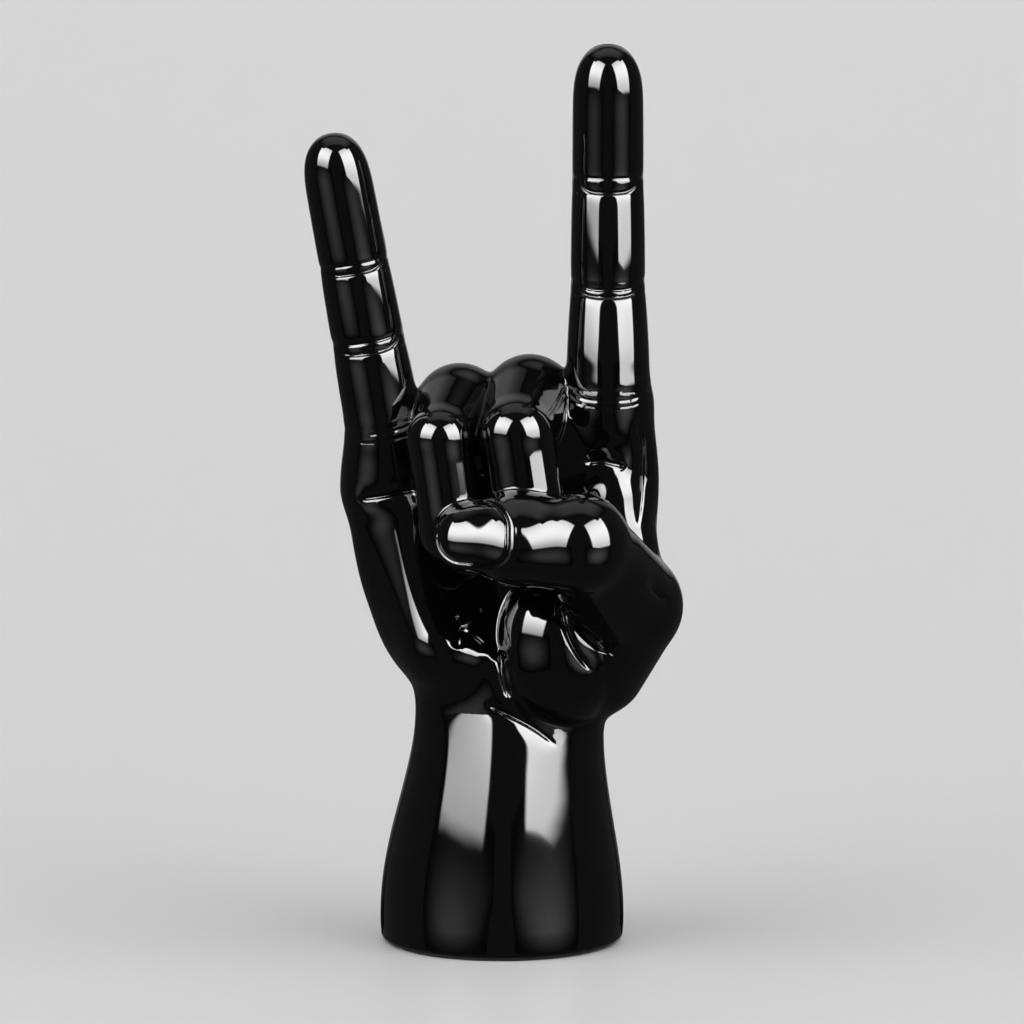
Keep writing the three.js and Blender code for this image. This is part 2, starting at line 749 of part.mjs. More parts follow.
// A ring round a finger, set back so that it cuts the palm side alone.
function creaseRing(form, at, along) {
	const tube = creaseWidth / 2;
	const radius = -form(at) + tube - creaseDepth + creaseSetBack;
	const geometry = new THREE.TorusGeometry(radius, tube, ringSides, ringSteps);
	geometry.applyQuaternion(new THREE.Quaternion().setFromUnitVectors(point(0, 0, 1), along));
	return solidOfGeometry(geometry.translate(at.x, at.y + creaseSetBack, at.z));
}

function makeDigit(digit, above) {
	const { joint, form, box, nail, creases } = digit;
	const skin = skinOf(form, box, digitCell);
	digit.skin = solidOfSkin(skin);
	digit.seat = solidOfSkin(grown(skin, glueLine));
	let solid = digit.skin;
	if (nail) solid = solid.add(solidOfSkin(grown(skin, nailRise)).intersect(nailPrism(nail)));
	for (const at of creases) solid = solid.subtract(creaseRing(form, at, joint.along));
	const face = joint.at.clone().addScaledVector(joint.along, glueLine / 2);
	solid = solid.intersect(pastPlane(face, joint.along));
	for (const other of above) solid = solid.subtract(other.seat);
	return solid.subtract(socketOf(digit));
}

digits.forEach((digit, n) => {
	addPart(digit.name, geometryOf(makeDigit(digit, digits.slice(0, n))), lacquer);
});

for (const { name, joint, dowel: [diameter, length] } of digits) {
	addPart(`${name}_dowel`, bar(joint.at, joint.along, diameter / 2, length, dowelSides), steel);
}

// The casting: its own form less the seats of the digits past their joints, the sockets, the
// hollow and the rebate for the board.
function makeCasting() {
	const box = boxRound(
		point(-palmWidth / 2, -footDepth / 2, castingBottom),
		point(palmWidth / 2, footDepth / 2, castingBottom),
		thumbBall, joints.thumb.at, joints.middle.at, joints.index.at, joints.little.at,
	);
	let solid = solidOfSkin(skinOf(castingForm(), box, palmCell));
	solid = solid.intersect(pastPlane(point(0, 0, castingBottom), upright));
	digits.forEach((digit, n) => {
		const { seat, joint } = digit;
		const face = joint.at.clone().addScaledVector(joint.along, -glueLine / 2);
		let room = seat.intersect(pastPlane(face, joint.along));
		for (const { skin } of digits.slice(0, n)) room = room.subtract(skin);
		solid = solid.subtract(room).subtract(socketOf(digit));
	});

	const [thumb] = digits;
	const halfPin = thumb.joint.along.clone().multiplyScalar(thumb.dowel[1] / 2);
	const pinRadius = thumb.dowel[0] / 2;
	const pinEnds = [thumb.joint.at.clone().sub(halfPin), thumb.joint.at.clone().add(halfPin)];
	const hollow = hollowForm(plateRadius - plateLedge, limb(...pinEnds, pinRadius, pinRadius));
	const hollowBox = new THREE.Box3(
		point(-palmWidth / 2, -footDepth / 2, -hollowCell),
		point(palmWidth / 2, footDepth / 2, hollowTop + hollowCell),
	);
	const open = meet(hollow, above(castingBottom - hollowCell / 2), 1);
	solid = solid.subtract(solidOfSkin(skinOf(open, hollowBox, hollowCell)));
	const rebateTop = castingBottom + plateThickness + glueLine;
	const rebate = disc(plateRadius + glueLine, castingBottom - plateThickness, rebateTop);
	return solid.subtract(solidOfGeometry(rebate));
}

addPart('palm_and_forearm', geometryOf(makeCasting()), lacquer);
addPart('base_plate', disc(plateRadius, castingBottom, castingBottom + plateThickness), board);
addPart('felt_pad', disc(padRadius, 0, padThickness), felt);

export default sculpture;
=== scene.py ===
# A glossy black hand sculpture on its felt, standing on a plain studio floor.
# The castings are drawn as forms in millimetres, each form telling how far a point lies outside
# it. One skin is laid over all of them and shared out among the castings, so that their joints
# don't show. The palm faces -Y, +Z is up, and the index finger stands on the +X side.

import math
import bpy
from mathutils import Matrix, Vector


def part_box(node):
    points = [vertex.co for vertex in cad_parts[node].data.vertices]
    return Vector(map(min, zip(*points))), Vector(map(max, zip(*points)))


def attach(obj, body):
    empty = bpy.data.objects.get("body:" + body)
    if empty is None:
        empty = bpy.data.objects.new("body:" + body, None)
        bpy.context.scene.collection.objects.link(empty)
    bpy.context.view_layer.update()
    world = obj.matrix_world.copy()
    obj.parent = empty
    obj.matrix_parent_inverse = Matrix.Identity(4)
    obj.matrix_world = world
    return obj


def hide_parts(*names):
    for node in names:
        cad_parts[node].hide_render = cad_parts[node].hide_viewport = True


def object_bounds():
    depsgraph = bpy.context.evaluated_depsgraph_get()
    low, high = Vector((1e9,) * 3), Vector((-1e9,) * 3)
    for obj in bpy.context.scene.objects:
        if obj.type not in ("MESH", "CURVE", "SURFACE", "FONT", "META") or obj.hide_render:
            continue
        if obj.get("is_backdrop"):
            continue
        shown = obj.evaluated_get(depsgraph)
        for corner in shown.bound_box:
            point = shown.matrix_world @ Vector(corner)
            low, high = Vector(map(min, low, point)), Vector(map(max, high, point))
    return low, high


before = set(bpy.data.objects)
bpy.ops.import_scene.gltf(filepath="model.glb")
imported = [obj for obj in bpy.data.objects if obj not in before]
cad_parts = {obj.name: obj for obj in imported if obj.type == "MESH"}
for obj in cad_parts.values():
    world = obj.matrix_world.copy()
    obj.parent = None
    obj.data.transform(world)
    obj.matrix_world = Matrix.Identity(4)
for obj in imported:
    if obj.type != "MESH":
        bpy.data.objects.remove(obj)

from concurrent.futures import ThreadPoolExecutor

import bpy
import numpy as np
from bpy.props import FloatProperty, FloatVectorProperty, PointerProperty
from mathutils import Vector

bl_info = {
    "name": "Hand sculpture",
    "version": (1, 0, 0),
    "blender": (4, 5, 0),
    "location": "3D Viewport > Sidebar > Sculpture",
    "description": "Lays the lacquered skin, the felt and the studio stage round a hand sculpture",
    "category": "Add Mesh",
}

cad_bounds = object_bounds()

MM = 0.001
FULL_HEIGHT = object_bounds()[1][2] / MM


def vec(*values):
    return np.array(values, float)


# Sizes of the hand, in millimetres

CASTING_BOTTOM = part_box("palm_and_forearm")[0].z / MM
FOOT = {"width": 90.2, "depth": 87.6, "height": 9.0, "edge": 0.6}
WRIST = {"width": 69.0, "depth": 54.0, "height": 88.0, "lean": 3.0}
PALM = {"width": 112.0, "thickness": 34.0, "height": 106.0, "slope": 0.19, "back": 3.0}
HEEL = {"width": 76.0, "height": 16.0}
WEB = {"width": 99.0, "height": 38.0}
PALM_POWER = 3
PALM_LAP = 12.0
FOREARM_LAP = 24.0
WIDE_FILLET = 12.0
FILLET = 9.0
TIGHT_FILLET = 6.0
BEND_FILLET = 3.0
HOLLOW_FILLET = 22.0
CONTACT_FILLET = 1.6
FOOT_FILLET = 1.2
TIP_STRETCH = 2.0
TIP_POWER = 1.7
REACH = 10.0  # past this distance from a form the skin doesn't feel it

WRIST_LEVEL = WRIST["height"]
WEB_LEVEL = WRIST_LEVEL + PALM["height"]


def over_wrist(side, front, rise):
    return vec(side, -front, WRIST_LEVEL + rise)


def over_webs(side, front, rise):
    return vec(side, -front, WEB_LEVEL + rise)


INDEX_ROOT = over_webs(38.9, 0, 6)
INDEX_LENGTH = 130.0
LITTLE_ROOT = over_webs(-42.7, 0, -5.5)
LITTLE_LENGTH = 111.4
LITTLE_SPLAY = math.radians(10.3)
LITTLE_ALONG = vec(-math.sin(LITTLE_SPLAY), 0, math.cos(LITTLE_SPLAY))
MIDDLE_KNUCKLE = over_webs(10.2, -5, 5.9)
MIDDLE_BEND = over_webs(5.2, 27.5, -4.2)
MIDDLE_LOW_BEND = over_webs(10, 31.5, -36)
MIDDLE_END = over_webs(11.5, 23, -46)
MIDDLE_RADII = (16.8, 13.6, 13.8)
RING_KNUCKLE = over_webs(-15.5, -5, 2.9)
RING_BEND = over_webs(-22.4, 28, -5.7)
RING_LOW_BEND = over_webs(-18.0, 31, -38)
RING_END = over_webs(-12, 23, -46)
RING_RADII = (16.5, 11.8, 11.4)
THUMB_ROOT = over_wrist(35, 8, 15)
THUMB_BALL = over_wrist(45.4, 18, 39)
THUMB_BEND = over_webs(27.6, 54.5, -39.6)
THUMB_NECK = over_webs(5, 49, -38.4)
THUMB_TIP = over_webs(-11.8, 44.5, -38.2)
THUMB_RADII = (20.5, 17.0, 15.8, 12.4)
THUMB_TURN = 0.26
TURN_ROOM = 6.0  # more than the thumb's front and back move when turned
END_TAPER = 2.0
# Diameter and length of each pin
DOWELS = {
    "thumb": (6.0, 36.0),
    "middle_finger": (6.0, 36.0),
    "ring_finger": (5.0, 30.0),
    "index_finger": (6.0, 36.0),
    "little_finger": (5.0, 30.0),
}
# How far along each digit its joint lies
JOINTS = {
    "thumb": 18.0,
    "middle_finger": 14.0,
    "ring_finger": 14.0,
    "index_finger": 4.0,
    "little_finger": 2.5,
}


# Forms


class Form:
    """Tells how far points lie outside a surface, and which points can feel it."""

    def __init__(self, distance, low=None, high=None):
        self.distance = distance
        self.low = low
        self.high = high

    def near(self, points, margin):
        inside = np.ones(len(points), bool)
        if self.low is not None:
            for axis in (2, 0, 1):
                inside &= points[:, axis] > self.low[axis] - margin
                inside &= points[:, axis] < self.high[axis] + margin
        return inside


def smooth_lower(a, b, fillet):
    near = np.maximum(fillet - np.abs(a - b), 0) / fillet
    return np.minimum(a, b) - near**3 * fillet / 6


def local_change(base, other, margin, change):
    """The base form, changed only where the other form is near."""

    def distance(points):
        result = base.distance(points)
        near = other.near(points, margin)
        if near.any():
            result[near] = change(result[near], points[near])
        return result

    return Form(distance, base.low, base.high)


def blend(base, other, fillet):
    """Joins two forms with a fillet."""

    def change(value, points):
        return smooth_lower(value, other.distance(points), fillet)

    joined = local_change(base, other, fillet + REACH, change)
    if base.low is not None and other.low is not None:
        joined.low = np.minimum(base.low, other.low)
        joined.high = np.maximum(base.high, other.high)
    return joined


def meet(base, other, edge):
    """What two forms share, with a rounded edge."""

    def distance(points):
        return -smooth_lower(-base.distance(points), -other.distance(points), edge)

    return Form(distance, base.low, base.high)


def without(base, other, edge):
    """One form less another, with a rounded edge."""

    def change(value, points):
        return -smooth_lower(-value, other.distance(points), edge)

    return local_change(base, other, edge + REACH, change)


def below(height):
    return Form(lambda points: points[:, 2] - height)


def above(height):
    return Form(lambda points: height - points[:, 2])


def limb(start, end, start_radius, end_radius):
    """A round limb that tapers evenly from one end to the other."""
    axis = end - start
    length_sq = axis @ axis
    taper = start_radius - end_radius
    slant_sq = length_sq - taper * taper

    def distance(points):
        arm = points - start
        along = arm @ axis
        past = along - length_sq
        across = arm * length_sq - along[:, None] * axis
        across_sq = np.einsum("ij,ij->i", across, across)
        along_sq = along * along * length_sq
        past_sq = past * past * length_sq
        cone = np.sign(taper) * taper * taper * across_sq
        result = (np.sqrt(across_sq * slant_sq / length_sq) + along * taper) / length_sq - start_radius
        at_start = np.sign(along) * slant_sq * along_sq < cone
        result = np.where(at_start, np.sqrt(across_sq + along_sq) / length_sq - start_radius, result)
        at_end = np.sign(past) * slant_sq * past_sq > cone
        return np.where(at_end, np.sqrt(across_sq + past_sq) / length_sq - end_radius, result)

    radius = max(start_radius, end_radius)
    return Form(distance, np.minimum(start, end) - radius, np.maximum(start, end) + radius)


def egg(centre, half_sizes):
    """An ellipsoid with its axes along X, Y and Z."""

    def distance(points):
        scaled = (points - centre) / half_sizes
        length = np.sqrt(np.einsum("ij,ij->i", scaled, scaled))
        scaled = scaled / half_sizes
        slope = np.sqrt(np.einsum("ij,ij->i", scaled, scaled))
        return length * (length - 1) / np.maximum(slope, 1e-9)

    return Form(distance, centre - half_sizes, centre + half_sizes)


def column(section_at, power):
    """A column of oval sections. Power 2 gives ellipses, and more gives flatter sides."""

    def distance(points):
        x, y, half_width, half_depth = section_at(points[:, 2])
        across = np.abs(points[:, 0] - x) / half_width
        deep = np.abs(points[:, 1] - y) / half_depth
        scaled = (across**power + deep**power) ** (1 / power)
        slope = np.hypot(across ** (power - 1) / half_width, deep ** (power - 1) / half_depth)
        steepness = slope / np.maximum(scaled, 1e-6) ** (power - 1)
        outside = (scaled - 1) / np.maximum(steepness, 1e-6)
        return np.maximum(outside, -np.minimum(half_width, half_depth))

    return Form(distance)


def smooth_through(places, values):
    """A smooth curve through values at given places, held level past its ends."""
    places = np.asarray(places, float)
    values = np.asarray(values, float)
    steps = np.diff(places)
    weight = steps.reshape(-1, *[1] * (values.ndim - 1))
    slopes = np.diff(values, axis=0) / weight
    tangents = np.zeros_like(values)
    tangents[1:-1] = (slopes[:-1] * weight[1:] + slopes[1:] * weight[:-1]) / (weight[1:] + weight[:-1])
    tangents[0] = slopes[0]
    tangents[-1] = slopes[-1]

    def at(place):
        i = np.clip(np.searchsorted(places, place) - 1, 0, len(places) - 2)
        step = steps[i]
        t = np.clip((place - places[i]) / step, 0, 1)
        if values.ndim > 1:
            step = step[:, None]
            t = t[:, None]
        start_weight = (1 + 2 * t) * (1 - t) ** 2
        end_weight = t * t * (3 - 2 * t)
        bend = t * (1 - t) ** 2 * step * tangents[i] - t * t * (1 - t) * step * tangents[i + 1]
        return start_weight * values[i] + end_weight * values[i + 1] + bend

    return at


def ramp(value, start, end):
    """Rises smoothly from 0 at start to 1 at end."""
    t = np.clip((value - start) / (end - start), 0, 1)
    return t * t * (3 - 2 * t)


def bump(distance, width):
    return np.exp(-((distance / width) ** 2))


# Fingers


class Straight:
    """A raised finger: its axis and radii, the creases and pads on its palm side, and its nail.

    Radii and lean are rows of a height and a value. A crease is its height at the front and at the
    sides, its depth and its width. A pad is its two ends and its height. The nail is its middle,
    width, length and corner radius.
    """

    WRINKLE_STEPS = (-3.4, -1.2, 1.0, 3.2)
    WRINKLE = {"depth": 0.3, "width": 0.6, "arch": 0.012}
    JOINT_SWELL = {"height": 0.7, "width": 7.0}
    CREASE_DIP = {"depth": 0.3, "width": 3.5}  # shares of the crease's own
    ROOM = 18.0

    def __init__(self, root, along, length, radii, lean, creases, pads, nail):
        self.root = root
        self.along = along
        self.length = length
        self.tip_radius = radii[-1][1]
        self.tip_start = length - self.tip_radius * TIP_STRETCH
        self.radius_at = smooth_through(*zip(*radii))
        self.lean_at = smooth_through(*zip(*lean))
        self.creases = creases
        self.pads = pads
        self.nail = nail
        # Height of each joint on the back, and half the length of its wrinkles
        self.wrinkles = [(0.62 * length, 5.5), (0.33 * length, 6.5)]
        front = vec(0, -1, 0)
        self.front = front - (front @ along) * along
        self.side = np.cross(along, self.front)

    def place(self, points):
        """How far up the finger points lie, and how far to the side and front of its axis."""
        arm = points - self.root
        reach = arm @ self.along
        return reach, arm @ self.side, arm @ self.front + self.lean_at(reach)

    def relief(self, reach, facing, sideways):
        """What the pads and creases add to the radius. Facing is 1 at the palm side."""
        palm = ramp(facing, -0.5, 0.6)
        added = np.zeros_like(reach)
        for start, end, height in self.pads:
            share = np.clip((reach - start) / (end - start), 0, 1)
            added += height * ramp(facing, -0.5, 1) * np.sqrt(4 * share * (1 - share))
        for middle, edge, depth, width in self.creases:
            line = edge + (middle - edge) * ramp(facing, 0.2, 1)
            dip = self.CREASE_DIP["depth"] * bump(reach - line, self.CREASE_DIP["width"] * width)
            added -= depth * palm * (bump(reach - line, width) + dip)
        back = ramp(-facing, 0, 0.4)
        middle, width, length, corner = self.nail
        added += back * nail_relief(sideways, reach - middle, width, length, corner)
        for middle, half_length in self.wrinkles:
            for step in self.WRINKLE_STEPS:
                arch = middle + step - self.WRINKLE["arch"] * step * sideways**2
                fade = bump(sideways, half_length)
                added -= self.WRINKLE["depth"] * back * bump(reach - arch, self.WRINKLE["width"]) * fade
            added += self.JOINT_SWELL["height"] * back * bump(reach - middle, self.JOINT_SWELL["width"])
        return added

    def distance(self, points):
        reach, side, front = self.place(points)
        across = np.hypot(side, front)
        facing = front / np.maximum(across, 1e-6)
        over_tip = np.maximum(reach - self.tip_start, 0) / (self.length - self.tip_start)
        over_tip = self.tip_radius * over_tip**TIP_POWER
        under_root = np.minimum(reach, 0)
        radius = self.radius_at(reach) + self.relief(reach, facing, side)
        return np.sqrt(across**2 + over_tip**2 + under_root**2) - radius

    def form(self):
        ends = np.stack([self.root, self.root + self.along * self.length])
        lean = vec(0, self.lean_at(self.length), 0)
        return Form(self.distance, ends.min(0) - self.ROOM, ends.max(0) + self.ROOM + lean)


index_finger = Straight(
    INDEX_ROOT,
    vec(0, 0, 1),
    INDEX_LENGTH,
    [(-20, 16.0), (2, 15.3), (18, 14.7), (40, 13.7), (62, 13.3), (90, 13.05), (114, 12.9)],
    [(-10, 0.0), (4, 0.4), (40, 6.0), (78, 11.0), (100, 12.2), (130, 12.6)],
    [
        (81.6, 82.6, 0.35, 0.55),
        (76.4, 81.6, 0.55, 0.6),
        (41.2, 44.6, 0.5, 0.6),
        (38.6, 43.6, 0.5, 0.55),
        (1.6, 6.5, 0.5, 0.6),
        (-0.6, 4.0, 0.4, 0.6),
    ],
    [(5, 39, 1.3), (44, 76, 0.9), (82, 128, 0.3)],
    (INDEX_LENGTH - 15, 17, 23, 6),
)
little_finger = Straight(
    LITTLE_ROOT,
    LITTLE_ALONG,
    LITTLE_LENGTH,
    [(-20, 14.6), (2, 13.9), (18, 13.6), (34, 13.2), (50, 12.8), (75, 12.5), (98, 12.2)],
    [(-10, 0.0), (20, -0.4), (60, -1.7), (112, -3.4)],
    [
        (63.4, 64.4, 0.35, 0.55),
        (60.2, 63.6, 0.55, 0.6),
        (34.6, 36.4, 0.5, 0.6),
        (30.6, 35.4, 0.5, 0.55),
        (1.4, 5.0, 0.4, 0.6),
        (-1.6, 4.0, 0.5, 0.6),
    ],
    [(4, 31, 1.1), (35, 60, 0.9), (64, 108, 0.3)],
    (LITTLE_LENGTH - 14, 15, 20, 5.5),
)


def curled_finger(knuckle, bend, low_bend, end, radii):
    knuckle_radius, bend_radius, end_radius = radii
    first = limb(knuckle, bend, knuckle_radius, bend_radius)
    second = limb(bend, low_bend, bend_radius, end_radius)
    last = limb(low_bend, end, end_radius, end_radius - END_TAPER)
    return blend(blend(first, second, BEND_FILLET), last, BEND_FILLET)


def thumb_form():
    first = limb(THUMB_BALL, THUMB_BEND, THUMB_RADII[0], THUMB_RADII[1])
    second = limb(THUMB_BEND, THUMB_NECK, THUMB_RADII[1], THUMB_RADII[2])
    last = limb(THUMB_NECK, THUMB_TIP, THUMB_RADII[2], THUMB_RADII[3])
    return blend(blend(first, turned_up(second), TIGHT_FILLET), turned_up(last), TIGHT_FILLET)


def turned_up(form):
    """The form with its front face leaning back by THUMB_TURN, so that the nail looks up."""

    def distance(points):
        moved = points.copy()
        moved[:, 1] -= THUMB_TURN * (points[:, 2] - THUMB_NECK[2])
        return form.distance(moved) / math.hypot(1, THUMB_TURN)

    return Form(distance, form.low - TURN_ROOM, form.high + TURN_ROOM)


# Palm and forearm


def forearm_section(z):
    climb = np.clip((z - FOOT["height"]) / (WRIST_LEVEL - FOOT["height"]), 0, 1)
    flare = np.cos(climb * math.pi / 2) ** 2
    front_flare = 1 - climb**1.4
    inset = FOOT["edge"] * np.clip(1 - z / FOOT["height"], 0, 1) ** 2
    half_width = (WRIST["width"] + (FOOT["width"] - WRIST["width"]) * flare) / 2 - inset
    half_depth = (WRIST["depth"] + (FOOT["depth"] - WRIST["depth"]) * front_flare) / 2 - inset
    return WRIST["lean"] * (1 - flare) * climb, 0, half_width, half_depth


# Height over the wrist, shift to the side, width and thickness of each section
palm_sections = np.array(
    [
        [-PALM_LAP, WRIST["lean"], WRIST["width"] * 0.85, PALM["thickness"] * 1.12],
        [HEEL["height"] / 2, WRIST["lean"], HEEL["width"] * 0.93, PALM["thickness"] * 1.24],
        [HEEL["height"], 0, HEEL["width"] * 1.04, PALM["thickness"] * 1.26],
        [WEB["height"], 0, WEB["width"], PALM["thickness"] * 1.18],
        [PALM["height"] * 0.77, WRIST["lean"] / 4, PALM["width"] * 1.015, PALM["thickness"]],
        [PALM["height"] * 1.11, -WRIST["lean"] / 2, PALM["width"] * 0.965, PALM["thickness"] * 0.94],
    ]
)
palm_section_at = smooth_through(WRIST_LEVEL + palm_sections[:, 0], palm_sections[:, 1:])


def palm_section(z):
    shift, width, thickness = palm_section_at(z).T
    return shift, PALM["back"], width / 2, thickness / 2


FRONT_RIDGE = {"x": 0.8, "width": 9.0, "height": 1.0}


def front_ridge(points):
    """A soft ridge down the front of the forearm."""
    fade = ramp(points[:, 2], 4, 30)
    front = ramp(-points[:, 1], 0, 20)
    ridge = FRONT_RIDGE["height"] * bump(points[:, 0] - FRONT_RIDGE["x"], FRONT_RIDGE["width"])
    return ridge * fade * front


def forearm_and_palm():
    plain = column(forearm_section, 2)
    ridged = Form(lambda points: plain.distance(points) - front_ridge(points))
    forearm = meet(ridged, below(WRIST_LEVEL + FOREARM_LAP), WIDE_FILLET)
    webs = Form(lambda points: points[:, 2] - WEB_LEVEL - PALM["slope"] * points[:, 0])
    slab = meet(column(palm_section, PALM_POWER), webs, WIDE_FILLET)
    slab = meet(slab, above(WRIST_LEVEL - PALM_LAP), FILLET)
    return blend(forearm, slab, FILLET)


# Ends, radii and fillet of each swelling under the skin of the palm
SWELLINGS = {
    "side of the palm": (over_wrist(-19.5, 12, 26), over_wrist(-39.5, -8, 82), 19, 17, WIDE_FILLET),
    "ball of the thumb": (THUMB_ROOT, THUMB_BALL, 18, THUMB_RADII[0], WIDE_FILLET),
    "web of the thumb": (over_wrist(41.5, 4, 74), over_wrist(45, 10, 50), 13.5, 13.5, TIGHT_FILLET),
    "root of the index finger": (over_webs(38, -3, -24), INDEX_ROOT, 15, 15.3, FILLET),
    "root of the little finger": (over_webs(-44.5, 0, -26), LITTLE_ROOT, 13.9, 13.9, FILLET),
    "bone of the middle finger": (
        over_wrist(4, -3, 32), MIDDLE_KNUCKLE, 15, MIDDLE_RADII[0], TIGHT_FILLET,
    ),
    "bone of the ring finger": (over_wrist(-6, -3, 32), RING_KNUCKLE, 15, RING_RADII[0], TIGHT_FILLET),
}
# Centre and half sizes
PALM_HOLLOW = (over_wrist(-10, 40, 62), vec(24, 23, 36))
THUMB_MOUND = (over_wrist(21, 14, 23), vec(24, 23, 30))
MOUND_FILLET = 2.0


def casting_form():
    """The palm and forearm, with the hidden roots of the digits."""
    form = forearm_and_palm()
    for start, end, start_radius, end_radius, fillet in SWELLINGS.values():
        form = blend(form, limb(start, end, start_radius, end_radius), fillet)
    form = without(form, egg(*PALM_HOLLOW), HOLLOW_FILLET)
    return blend(form, egg(*THUMB_MOUND), MOUND_FILLET)


# Lines of the palm and the nails


class Line:
    """A crease of the palm: a narrow groove in a wide soft dip, which run out at both ends."""

    def __init__(self, y, places, depth, width, dip=0.0, dip_width=4.0, reach=12.0):
        steps = np.linspace(0, len(places) - 1, 8 * (len(places) - 1) + 1)
        self.course = smooth_through(np.arange(len(places)), np.array(places, float))(steps)
        self.y, self.depth, self.width = y, depth, width
        self.dip, self.dip_width, self.reach = dip, dip_width, reach

    def cut(self, points):
        """How deep the line lies in the skin."""
        margin = 3 * max(self.width, self.dip_width if self.dip else 0)
        low, high = self.course.min(0) - margin, self.course.max(0) + margin
        flat = points[:, [0, 2]]
        near = ((flat > low) & (flat < high)).all(1) & (np.abs(points[:, 1] - self.y) < self.reach)
        cut = np.zeros(len(points))
        if not near.any():
            return cut
        spots = flat[near]
        best = np.full(len(spots), np.inf)
        share = np.zeros(len(spots))
        steps = len(self.course) - 1
        for i in range(steps):
            start, step = self.course[i], self.course[i + 1] - self.course[i]
            along = np.clip((spots - start) @ step / (step @ step), 0, 1)
            distance = np.hypot(*(spots - start - along[:, None] * step).T)
            closer = distance < best
            best[closer] = distance[closer]
            share[closer] = (i + along[closer]) / steps
        fade = ramp(share, 0, 0.18) * ramp(1 - share, 0, 0.18)
        fade *= 1 - ramp(np.abs(points[near, 1] - self.y), 0.6 * self.reach, self.reach)
        cut[near] = fade * (self.depth * bump(best, self.width) + self.dip * bump(best, self.dip_width))
        return cut


class Swell:
    """A low mound on the skin."""

    def __init__(self, centre, size, height):
        self.centre, self.size, self.height = centre, size, height

    def cut(self, points):
        near = (np.abs(points - self.centre) < 2.5 * self.size).all(1)
        cut = np.zeros(len(points))
        away = ((points[near] - self.centre) / self.size) ** 2
        cut[near] = -self.height * np.exp(-away.sum(1))
        return cut


NAIL = {"plate": 0.45, "groove": 0.5, "fold": 0.5, "margin": 6.0}


def nail_relief(across, along, width, length, corner):
    """Height of a nail over the skin: the plate, the groove round it and the fold of skin."""
    out = np.stack([np.abs(across) - width / 2 + corner, np.abs(along) - length / 2 + corner])
    edge = np.hypot(*np.maximum(out, 0)) + np.minimum(out.max(0), 0) - corner
    plate = NAIL["plate"] * ramp(-edge, -0.3, 0.5)
    groove = NAIL["groove"] * bump(edge - 0.5, 0.6)
    fold = NAIL["fold"] * bump(edge - 2.4, 1.3)
    return plate - groove + fold


THUMB_NAIL = {
    "x": -10.2, "y": THUMB_TIP[1] - 2, "z": 158.1, "width": 20.0, "length": 24.0, "corner": 7.5,
}


def thumb_nail(points):
    """What the thumb's nail cuts from the skin, and adds to it where it is below 0."""
    nail = THUMB_NAIL
    shape = nail["width"], nail["length"], nail["corner"]
    near = points[:, 1] < nail["y"]
    near &= np.abs(points[:, 0] - nail["x"]) < nail["length"] / 2 + NAIL["margin"]
    near &= np.abs(points[:, 2] - nail["z"]) < nail["width"] / 2 + NAIL["margin"]
    cut = np.zeros(len(points))
    x, y, z = points[near].T
    cut[near] = -nail_relief(z - nail["z"], x - nail["x"], *shape) * ramp(nail["y"] - y, 0, 4)
    return cut


# Each line's y, its course as x and z, depth, width, depth and width of its dip, and its reach in y.
# Each swell's middle, size and height.
PALM_LINES = [
    Line(-28, [(-0.6, 112), (-0.2, 106), (0.8, 100), (3, 93)], 0.8, 0.9, 0.6, 3),
    Line(-28, [(-7, 92.5), (0.1, 89.2), (5.9, 86.3), (12.8, 82.2), (21, 75.5)], 0.8, 0.8, 0.5, 3),
    Line(-36, [(20.7, 131.8), (21.8, 125.9), (23.9, 118.3), (27.6, 111), (33, 104.3)], 1.1, 0.75, 0.5, 2.5),
    Line(-36, [(26, 126.5), (28.6, 120.5), (32.6, 115.7), (37, 112.4), (42, 110.3)], 1.0, 0.75, 0.5, 2.5),
    Line(-12, [(-53.5, 164.9), (-44.4, 166.3), (-37.1, 167.8), (-29, 169)], 0.9, 0.8, 1.2, 4),
    Line(-12, [(29.5, 178.6), (35.8, 179.3), (39.8, 178.6), (46, 177)], 0.7, 0.8, 0.7, 3),
    Line(-12, [(48.8, 196), (51.2, 186), (51.2, 176), (50.8, 166), (49.3, 155)], 0.6, 0.8, 0.6, 3),
    Line(-22, [(-16.8, 124), (-15.5, 118.3), (-16.5, 112)], 0.35, 0.8, 0.35, 2.4),
    Line(-22, [(-16, 117), (-12.3, 119.8), (-9.4, 122), (-6.5, 126)], 0.35, 0.8, 0.35, 2.4),
    Line(-22, [(-16, 119), (-11.6, 116.8), (-5.5, 111.5)], 0.35, 0.8, 0.3, 2.4),
    Line(-22, [(38, 156), (45.6, 146.7), (53.6, 137.6), (61, 128)], 0.9, 1.0, 0.8, 3.5, 26),
    Swell(vec(43.8, -13, 189.8), vec(6, 6, 5.5), 0.7),
    Swell(vec(42, -13, 171), vec(6.5, 6, 6), 0.8),
    Swell(vec(44.5, -13, 158), vec(5, 6, 6), 0.7),
    Swell(vec(-47, -12, 188), vec(8, 7, 7), 0.5),
]
# Down the back of the hand, from the knuckles towards the wrist
TENDONS = [
    Line(20, [(34, 200), (28, 170), (17, 140), (10, 112)], -1.0, 3.2, 0, 4, 16),
    Line(20, [(11, 205), (9, 170), (6, 140), (5, 112)], -1.1, 3.2, 0, 4, 16),
    Line(20, [(-15, 203), (-12, 170), (-6, 140), (0, 112)], -1.1, 3.2, 0, 4, 16),
    Line(20, [(-39, 190), (-31, 165), (-18, 138), (-6, 112)], -0.9, 3.0, 0, 4, 16),
]
KNUCKLES = [
    Swell(vec(38, 16, 203), vec(9, 8, 9), 1.6),
    Swell(vec(-42, 15, 189), vec(8, 8, 8), 1.4),
]


